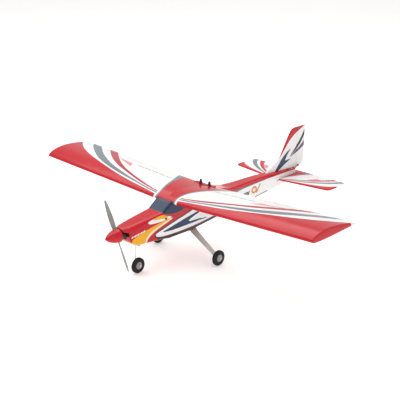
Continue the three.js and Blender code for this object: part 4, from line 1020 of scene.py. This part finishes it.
plate("skin_elevator", "x", st_ss, lambda s: 573.9, el_trail, el_half, el_out, lambda s, y: 2.6 if y < 590 else 1.4,
      "elevator_surface", STAB_FILM, STAB_MASKS, ("elevator",))
FIN_LE = [(238, 359.5), (253.2, 359.5), (279, 405), (303.5, 452), (319, 466), (341, 480), (380, 504.5), (412, 526), (430.5, 541), (437.5, 556), (439, 572)]
fz = np.array([p[0] for p in FIN_LE]); fy = np.array([p[1] for p in FIN_LE])
fin_lead = lambda z: float(pchip(z, fz, fy))
fin_ss = sorted({439 - t for t in tips} | set(np.round(np.linspace(238, 431, 66), 3)) | {253.2})
fin_out = [(z, fin_lead(z)) for z in np.linspace(238, 439, 90)] + [(439, 583.9), (238, 583.9)]
plate("skin_fin", "z", fin_ss, fin_lead, lambda z: 583.9, lambda s, y: 4.0, fin_out, lambda s, y: 4.0 if y < 574 else 2.0,
      "airframe", FIN_FILM, FIN_MASKS, ("vertical_fin",))
rud_trail = lambda z: float(np.interp(z, [229, 248, 251, 434, 439], [587.5, 641.5, 643.5, 646.5, 644]))
rud_out = [(229, 585.6), (229, 587.5), (248, 641.5), (251, 643.5), (434, 646.5), (439, 644), (439, 585.6)]
rud_half = lambda s, y: float(np.interp(y, [585.6, 589, 646.5], [3.75, 3.75, 1.5]))
rud_ss = sorted({439 - t for t in tips} | {229 + t for t in tips} | set(np.round(np.linspace(239, 429, 62), 3)) | {248.0, 251.0})
plate("skin_rudder", "z", rud_ss, lambda z: 585.6, rud_trail, rud_half, rud_out, lambda s, y: 2.6 if y < 600 else 1.4,
      "rudder_surface", FIN_FILM, FIN_MASKS, ("rudder",))


# ------------------------------------------------------------------ drive
def turned(name, profile, centre, axis, body, mat, n=48, replaces=(), sharp=38, close=True, turn=0.0):
    V, F = revolve(profile, n, close)
    if axis == "x":
        V = V[:, [1, 0, 2]]
    elif axis == "z":
        V = V[:, [0, 2, 1]]
    if turn:
        V = V @ np.array(Matrix.Rotation(turn, 3, "Y")).T
    V = V + np.array(centre)
    return make(name, V, F, body, mat, replaces=replaces, sharp=sharp, merge=0.004)


og = lambda t: (1 - t**1.9) ** 0.82
tip_y = -HALF_LENGTH
N = 40
outer = [(SPIN_R * og(i / N) if i < N else 0.0, SPIN_Y + (tip_y - SPIN_Y) * i / N) for i in range(N + 1)]
inner = [((SPIN_R - 1.8) * og(i / N) if i < N else 0.0, SPIN_Y + (tip_y + 3.5 - SPIN_Y) * i / N) for i in range(N + 1)]
V, F = revolve(outer[::-1] + inner, 72, True)
cone = bpy.data.meshes.new("cone")
cone.from_pydata([tuple(v * MM) for v in V], [], F)
cb = bmesh.new()
cb.from_mesh(cone)
bmesh.ops.remove_doubles(cb, verts=cb.verts, dist=4e-6)
bmesh.ops.recalc_face_normals(cb, faces=cb.faces)
cb.to_mesh(cone)
cb.free()
cone_ob = bpy.data.objects.new("spinner_shell", cone)
bpy.context.scene.collection.objects.link(cone_ob)
cone.materials.append(SPIN_RED)
# Openings for the blades, with round ends.
for s in (1, -1):
    ol = []
    for a in np.linspace(0, math.pi, 13):
        ol.append((8.6 * math.cos(a) * 1.0, -586.0 - 7.6 * math.sin(a)))
    ol += [(-9.2, -570), (9.2, -570)]
    cv, cf = prism([(p, q) for p, q in ol], 14 * s, 40 * s, axis=2)
    cm = bpy.data.meshes.new("cutter")
    cm.from_pydata([tuple(v) for v in cv * MM], [], [list(f) for f in cf])
    k = bmesh.new()
    k.from_mesh(cm)
    bmesh.ops.recalc_face_normals(k, faces=k.faces)
    k.to_mesh(cm)
    k.free()
    co = bpy.data.objects.new("cutter", cm)
    bpy.context.scene.collection.objects.link(co)
    bo = cone_ob.modifiers.new("slot", "BOOLEAN")
    bo.operation = "DIFFERENCE"
    bo.object = co
    bo.solver = "EXACT"
    settle(cone_ob)
    bpy.data.objects.remove(co)
cone_ob.data.transform(Matrix.Translation((0, 0, THRUST_Z * MM)) @ Matrix.Rotation(PROP_TURN, 4, "Y"))
finish_piece(cone_ob, "drive", ("spinner_cone",), sharp=30)
turned("spinner_plate", [(3.2, -577.2), (28.4, -577.2), (29.1, -576.6), (29.1, -575.3), (28.4, -574.7), (8, -574.7), (3.2, -574.7)], (0, 0, THRUST_Z), "y", "drive", SPIN_RED, n=64,
       replaces=("spinner_backplate",))


def chord_at(r):
    return float(pchip(r / PROP_R, [0, 0.1, 0.2, 0.35, 0.5, 0.65, 0.8, 0.92, 0.975, 1], [13, 13.5, 17, 22, 24, 23, 19.5, 14, 9.5, 4.0]))


def blade(turn):
    nr, nu = 56, 28
    V = []
    for i in range(nr + 1):
        s = i / nr
        r = 7 + (PROP_R - 7) * (1 - (1 - s) ** 1.35)
        c = chord_at(r)
        th = 0.9 + 6.2 * max(0.0, 1 - r / 95) ** 1.3 + 1.1 * (1 - r / PROP_R)
        beta = min(math.atan(PROP_PITCH / (2 * math.pi * max(r, 18))), 0.72)
        for k in range(nu):
            a = 2 * math.pi * k / nu
            u = 0.5 * math.cos(a)
            top = math.sin(a) >= 0
            prof = math.sqrt(max(0.0, 1 - (2 * u) ** 2)) * (1.0 - 0.25 * u)
            off = -0.10 * c * (r / PROP_R) ** 2  # leading-edge sweep offset; it is multiplied by zero below, so the edge is not swept
            aa = u * c + off * 0.0
            b = (-0.55 if not top else 0.5) * th * prof * (-1)
            x = -(aa * math.cos(beta) - b * math.sin(beta))
            y = -(aa * math.sin(beta) + b * math.cos(beta))
            V.append((x, -584 + y, r))
    F = grid_faces(nr + 1, nu, wrap=True)
    F.append(tuple(range(nu))[::-1])
    F.append(tuple(nr * nu + k for k in range(nu)))
    return np.array(V) @ np.array(Matrix.Rotation(turn, 3, "Y")).T, F


hubV, hubF = revolve([(3.1, -590.2), (11.2, -590.2), (12, -589.4), (12, -578.4), (11.2, -577.6), (3.1, -577.6)], 40)
V, F = combine(blade(0), blade(math.pi), (hubV, hubF))
V = V @ np.array(Matrix.Rotation(PROP_TURN, 3, "Y")).T + np.array((0, 0, THRUST_Z))
make("propeller_blades", V, F, "drive", M["prop"], replaces=("propeller",), sharp=42)

# Motor windings inside the bell, seen through its open front and the gap under the cowl.
parts = []
for i in range(12):
    a = 2 * math.pi * i / 12
    ring = [(16.2 * math.cos(a) + 2.6 * math.cos(t) * math.cos(a), -560 + 4.4 * math.sin(t), 16.2 * math.sin(a) + 2.6 * math.cos(t) * math.sin(a)) for t in np.linspace(0, 2 * math.pi, 13)]
    parts.append(sweep(ring, 1.15, 8))
V, F = combine(*parts)
make("motor_windings", V + np.array((0, 0, THRUST_Z)), F, "airframe", M["copper"])
parts = []
for i, x in enumerate((-7, 0, 7)):
    parts.append(sweep([(x, -548, 180), (x * 1.1, -546, 178), (x * 1.2, -541, 176.5), (x * 1.2, -536, 177), (x - 8, -526, 180)], 1.6, 10))
V, F = combine(*parts)
make("motor_leads", V, F, "airframe", M["lead_black"])


# ------------------------------------------------------------------ wheels
def wheel(prefix, x, y, body, bore, spokes=6):
    c = (x, y, WHEEL_R)
    prof = [(15.4, -7.2), (17, -8.4), (19.5, -9.25), (22.5, -9.85), (25, -10), (27.5, -9.6), (29.6, -8.7), (31.3, -7.6), (32.5, -6.1)]
    tread = []
    z = -5.2
    for i in range(5):
        tread += [(33.2 + 0.12 * i * (4 - i), z), (33.75 if i in (0, 4) else 34.0, z + 0.35), (33.75 if i in (0, 4) else 34.0, z + 1.35), (33.1, z + 1.75)]
        z += 2.1
    prof += [p for p in tread if p[1] < 5.3] + [(32.5, 6.1), (31.3, 7.6), (29.6, 8.7), (27.5, 9.6), (25, 10), (22.5, 9.85), (19.5, 9.25), (17, 8.4), (15.4, 7.2)]
    turned(prefix + "_tyre_foam", prof, c, "x", body, M["tyre"], n=96, replaces=(prefix + "_tyre",), sharp=30)
    parts = []
    parts.append(revolve([(bore, -9), (5.2, -9), (6, -8.4), (6, -2.4), (6, 2.4), (6, 8.4), (5.2, 9), (bore, 9)], 40))
    parts.append(revolve([(12.9, -7.6), (13.6, -8.2), (15.1, -8.0), (15.3, -7.2), (15.3, 7.2), (15.1, 8.0), (13.6, 8.2), (12.9, 7.6), (12.4, 4.5), (12.4, -4.5)], 64))
    parts.append(revolve([(5.6, -1.6), (12.8, -1.6), (12.8, 1.6), (5.6, 1.6)], 40))
    for i in range(spokes):
        a = 2 * math.pi * i / spokes
        v, f = prism([(5.4, -0.9), (12.9, -1.3), (12.9, 1.3), (5.4, 0.9)], -6.2, 6.2, axis=1)
        # (r, across) outline in x,z with thickness along the axle
        m = np.array(Matrix.Rotation(a, 3, "Y"))
        parts.append((v @ m.T, f))
    V, F = combine(*parts)
    V = V[:, [1, 0, 2]] + np.array(c)
    make(prefix + "_hub_moulded", V, F, body, M["hub"], replaces=(prefix + "_hub",), sharp=35)


wheel("nose", 0, NOSE_Y, "nose_wheel", 2.5)
wheel("main_left", MAIN_X, MAIN_Y, "main_wheel_left", 2.8)
wheel("main_right", -MAIN_X, MAIN_Y, "main_wheel_right", 2.8)

# ------------------------------------------------------------------ main gear strap
line = [(0, 126.6), (29, 126.6), (34, 124.6), (40, 117.5), (148, 54), (158, 48), (163, 44), (165, 39), (165, 25)]


def fillet(pts, r, n=6):
    out = [np.array(pts[0], float)]
    for i in range(1, len(pts) - 1):
        a, b, c = (np.array(p, float) for p in pts[i - 1:i + 2])
        u, v = a - b, c - b
        lu, lv = np.linalg.norm(u), np.linalg.norm(v)
        k = min(r, lu * 0.49, lv * 0.49)
        p, q = b + u / lu * k, b + v / lv * k
        for t in np.linspace(0, 1, n):
            out.append((1 - t) ** 2 * p + 2 * t * (1 - t) * b + t * t * q)
    out.append(np.array(pts[-1], float))
    return out


cl = fillet([(0, 126.6), (31, 126.6), (40, 117.5), (150, 52.5), (165, 43), (165, 24.6)], 9)
cl = [p for p in cl]
dens = []
for a, b in zip(cl[:-1], cl[1:]):
    k = max(1, int(np.linalg.norm(b - a) / 4))
    dens += [a + (b - a) * i / k for i in range(k)]
dens.append(cl[-1])
cl = np.array(dens)
cl = np.vstack([(cl[1:] * np.array([-1, 1]))[::-1], cl])
T = np.gradient(cl, axis=0)
T /= np.linalg.norm(T, axis=1)[:, None]
Nn = np.column_stack([-T[:, 1], T[:, 0]])
half_w = np.interp(np.abs(cl[:, 0]), [0, 34, 60, 163, 165], [20, 20, 18.2, 12, 12])
low_end = np.clip((cl[:, 1] - 24.6) / 12, 0, 1)
half_w = np.where(cl[:, 1] < 36.6, 12 * np.sqrt(np.clip(1 - (1 - low_end) ** 2, 0.02, 1)), half_w)
section_pts = []
for k, (dw, dt) in enumerate([(-1, -0.62), (-1, 0.62), (-0.975, 0.9), (-0.94, 1), (0.94, 1), (0.975, 0.9), (1, 0.62), (1, -0.62), (0.975, -0.9), (0.94, -1), (-0.94, -1), (-0.975, -0.9)]):
    section_pts.append((dw, dt))
V = []
for p, nn, w in zip(cl, Nn, half_w):
    for dw, dt in section_pts:
        q = p + nn * dt * 1.5
        V.append((q[0], MAIN_Y + dw * w, q[1]))
F = grid_faces(len(cl), 12, wrap=True) + [tuple(range(12))[::-1], tuple((len(cl) - 1) * 12 + k for k in range(12))]
make("gear_strap", np.array(V), F, "airframe", M["strap"], replaces=("main_gear",), sharp=30)
parts = []
for x in (-19, 19):
    for y in (-8, 8):
        v, f = revolve([(0, 0), (3.6, 0), (3.6, -0.8), (2.6, -2.2), (1.2, -2.8), (0, -2.9)], 24, close=True)
        parts.append((v[:, [0, 2, 1]] + np.array((x, MAIN_Y + y, 125.0)), f))
V, F = combine(*parts)
make("gear_screws", V, F, "airframe", M["nut"], merge=0.003)
for word, s in (("left", 1), ("right", -1)):
    parts = []
    def hexbar(r, a, b):
        ol = [(r * math.cos(t) + MAIN_Y, r * math.sin(t) + WHEEL_R) for t in np.linspace(0, 2 * math.pi, 6, endpoint=False)]
        return prism(ol, a * s, b * s, axis=0)
    def bar(r, a, b, c=0.5):
        v, f = revolve([(0, a), (r - c, a), (r, a + c), (r, b - c), (r - c, b), (0, b)], 32)
        v = v[:, [1, 0, 2]]
        v[:, 0] *= s
        return v + np.array((0, MAIN_Y, WHEEL_R)), f
    parts += [bar(2.5, 160.2, 199.6), bar(4.2, 194.9, 199.0), bar(5.6, 158.9, 163.0, 0.3), bar(5.2, 167.0, 168.2, 0.3)]
    V, F = combine(*parts)
    make("axle_" + word, V, F, "airframe", M["nut"], replaces=("main_axle_" + word,), merge=0.003)
    V, F = combine(hexbar(4.5, 157.9, 163.0), hexbar(4.5, 168.2, 172.2))
    bevelled("axle_nuts_" + word, V, F, "airframe", M["nut"], width=0.3)

# ------------------------------------------------------------------ nose gear
path = [(0, NOSE_Y, 185), (0, NOSE_Y, 175), (0, NOSE_Y, 160), (0, NOSE_Y, 144), (0, NOSE_Y, 135)]
Rc, z0, turns, dx = 8, 128, 2, -15
for i in range(1, turns * 24 + 1):
    a = math.pi + 2 * math.pi * i / 24
    path.append((dx * i / (turns * 24), NOSE_Y + Rc + Rc * math.cos(a), z0 + Rc * math.sin(a)))
path[4] = (0, NOSE_Y, 133)
path += [(dx, NOSE_Y, 120), (dx, NOSE_Y, 106), (dx, NOSE_Y, 80), (dx, NOSE_Y, 52), (dx, NOSE_Y, 42), (dx + 0.9, NOSE_Y, 38), (dx + 2.9, NOSE_Y, 35.2), (dx + 5.4, NOSE_Y, 34), (-6, NOSE_Y, 34), (4, NOSE_Y, 34), (15, NOSE_Y, 34)]


def spline3(pts, n=3):
    p = np.array(pts, float)
    p = np.vstack([2 * p[0] - p[1], p, 2 * p[-1] - p[-2]])
    out = []
    for i in range(1, len(p) - 2):
        for k in range(n):
            t = k / n
            out.append(0.5 * (2 * p[i] + (p[i + 1] - p[i - 1]) * t + (2 * p[i - 1] - 5 * p[i] + 4 * p[i + 1] - p[i + 2]) * t * t + (3 * p[i] - p[i - 1] - 3 * p[i + 1] + p[i + 2]) * t**3))
    out.append(p[-2])
    return np.array(out)


V, F = sweep(spline3(path), 2.0, 18)
make("nose_leg_wire", V, F, "nose_gear", M["steel"], replaces=("nose_leg",), sharp=50)
for x0, x1 in ((9.4, 14.4), (-12.6, -9.4)):
    v, f = revolve([(2.05, x0), (4.4, x0), (4.8, x0 + 0.4), (4.8, x1 - 0.4), (4.4, x1), (2.05, x1)], 32)
    make("nose_collar_%s" % ("a" if x0 > 0 else "b"), v[:, [1, 0, 2]] + np.array((0, NOSE_Y, WHEEL_R)), f, "nose_gear", M["nut"])

# ------------------------------------------------------------------ wing bolts
head = WING_Z + float(upper(-66)) + 2.6 + 33.6 * math.sin(DIHEDRAL)
for word, s in (("left", 1), ("right", -1)):
    prof = [(0, 264), (2.2, 264), (3, 265.5), (3, head), (7.0, head), (7.6, head + 0.6), (7.6, head + 2.4), (7.0, head + 3.4), (6.4, head + 4), (5.6, head + 9), (5.0, head + 13), (4.4, head + 15), (3.4, head + 16), (2.4, head + 16.15), (2.0, head + 13), (0, head + 13)]
    V, F = revolve(prof, 40)
    V = V[:, [0, 2, 1]] + np.array((s * 26, -58, 0))
    make("wing_bolt_%s_nylon" % word, V, F, "airframe", M["black"], replaces=("wing_bolt_" + word,), merge=0.004)

# ------------------------------------------------------------------ finish of the pieces that stay as they are
KEEP = {
    # the firewall's near-black bay finish is painted shade
    "firewall": "bay", "equipment_tray": "ply", "wing_mount_block": "ply", "battery_pack": "wrap", "speed_controller": "wrap", "receiver": "receiver",
    "battery_strap": "web", "rudder_servo": "servo", "elevator_servo": "servo", "aileron_servo_left": "servo", "aileron_servo_right": "servo",
    "rudder_servo_arm": "nylon", "elevator_servo_arm": "nylon", "aileron_servo_arm_left": "nylon", "aileron_servo_arm_right": "nylon",
    "nose_gear_bracket": "black", "steering_arm": "black", "rudder_horn": "black", "elevator_horn": "black", "aileron_horn_left": "black", "aileron_horn_right": "black",
    "hatch_latch": "black", "motor_can": "motor", "motor_stator": "motor", "wing_joiner": "joiner", "rudder_pushrod": "tube", "elevator_pushrod": "tube",
    "steering_pushrod": "steel", "aileron_pushrod_left": "steel", "aileron_pushrod_right": "steel",
}
for node, key in KEEP.items():
    o = NODES[node]
    o.data.materials.clear()
    o.data.materials.append(M[key])
PLATE_RED = plastic("bolt_plate_red", (0.36, 0.008, 0.014), 0.22, coat=0.4, vary=0.1)
NODES["wing_bolt_plate"].data.materials.clear()
NODES["wing_bolt_plate"].data.materials.append(PLATE_RED)

# ------------------------------------------------------------------ stage, light, camera
scene = bpy.context.scene
fm = Tree("studio_floor", rough=0.6, spec=0.2)
fm.b.inputs["Emission Color"].default_value = (1.0, 0.975, 0.945, 1)
fm.b.inputs["Emission Strength"].default_value = 0.30
n_ = fm.ramp(fm.noise(3.0, 4), 0.3, 0.7, 0.0, 1.0)
fm.done(fm.mix(n_, (0.93, 0.925, 0.915), (0.95, 0.945, 0.94)))
fl = bpy.data.meshes.new("floor")
fl.from_pydata([(-40, -40, 0), (40, -40, 0), (40, 40, 0), (-40, 40, 0)], [], [(0, 1, 2, 3)])
floor = bpy.data.objects.new("floor", fl)
fl.materials.append(fm.m)
scene.collection.objects.link(floor)

world = bpy.data.worlds.new("studio")
scene.world = world
world.use_nodes = True
bg = world.node_tree.nodes["Background"]
bg.inputs["Color"].default_value = (1.0, 1.0, 1.0, 1)
bg.inputs["Strength"].default_value = 0.66


def lamp(name, loc, target, size, power, colour=(1, 1, 1)):
    d = bpy.data.lights.new(name, "AREA")
    d.shape = "RECTANGLE"
    d.size, d.size_y = size
    d.energy = power
    d.color = colour
    o = bpy.data.objects.new(name, d)
    o.location = loc
    o.rotation_mode = "QUATERNION"
    o.rotation_quaternion = (Vector(target) - Vector(loc)).to_track_quat("-Z", "Y")
    scene.collection.objects.link(o)
    return o


lamp("key", (-1.2, 0.2, 4.4), (0, 0, 0.2), (5.2, 5.2), 175, (1.0, 0.985, 0.97))
lamp("fill", (4.0, -1.6, 2.2), (0, 0, 0.2), (2.6, 2.6), 14)
scene.view_settings.view_transform = "Standard"
scene.view_settings.look = "None"
scene.view_settings.exposure = 0.0

az, el, roll = math.radians(43.4), math.radians(19.4), math.radians(0.6)
back = Vector((math.sin(az) * math.cos(el), -math.cos(az) * math.cos(el), math.sin(el)))
right = Vector((math.cos(az), math.sin(az), 0))
up = back.cross(right)
R_ = math.cos(roll) * right + math.sin(roll) * up
U_ = -math.sin(roll) * right + math.cos(roll) * up
cam_d = bpy.data.cameras.new("camera")
cam = bpy.data.objects.new("camera", cam_d)
scene.collection.objects.link(cam)
cam.rotation_mode = "QUATERNION"
rot = Matrix((R_, U_, back)).transposed()
cam.location = (2.8523, -3.1230, 1.6993)
cam.rotation_quaternion = rot.to_quaternion()
cam_d.lens = 90.05
cam_d.sensor_width = 36
cam_d.shift_x = 0.00675
cam_d.shift_y = -0.00025
cam_d.clip_start = 0.05
cam_d.clip_end = 100
scene.camera = cam

bpy.context.view_layer.update()
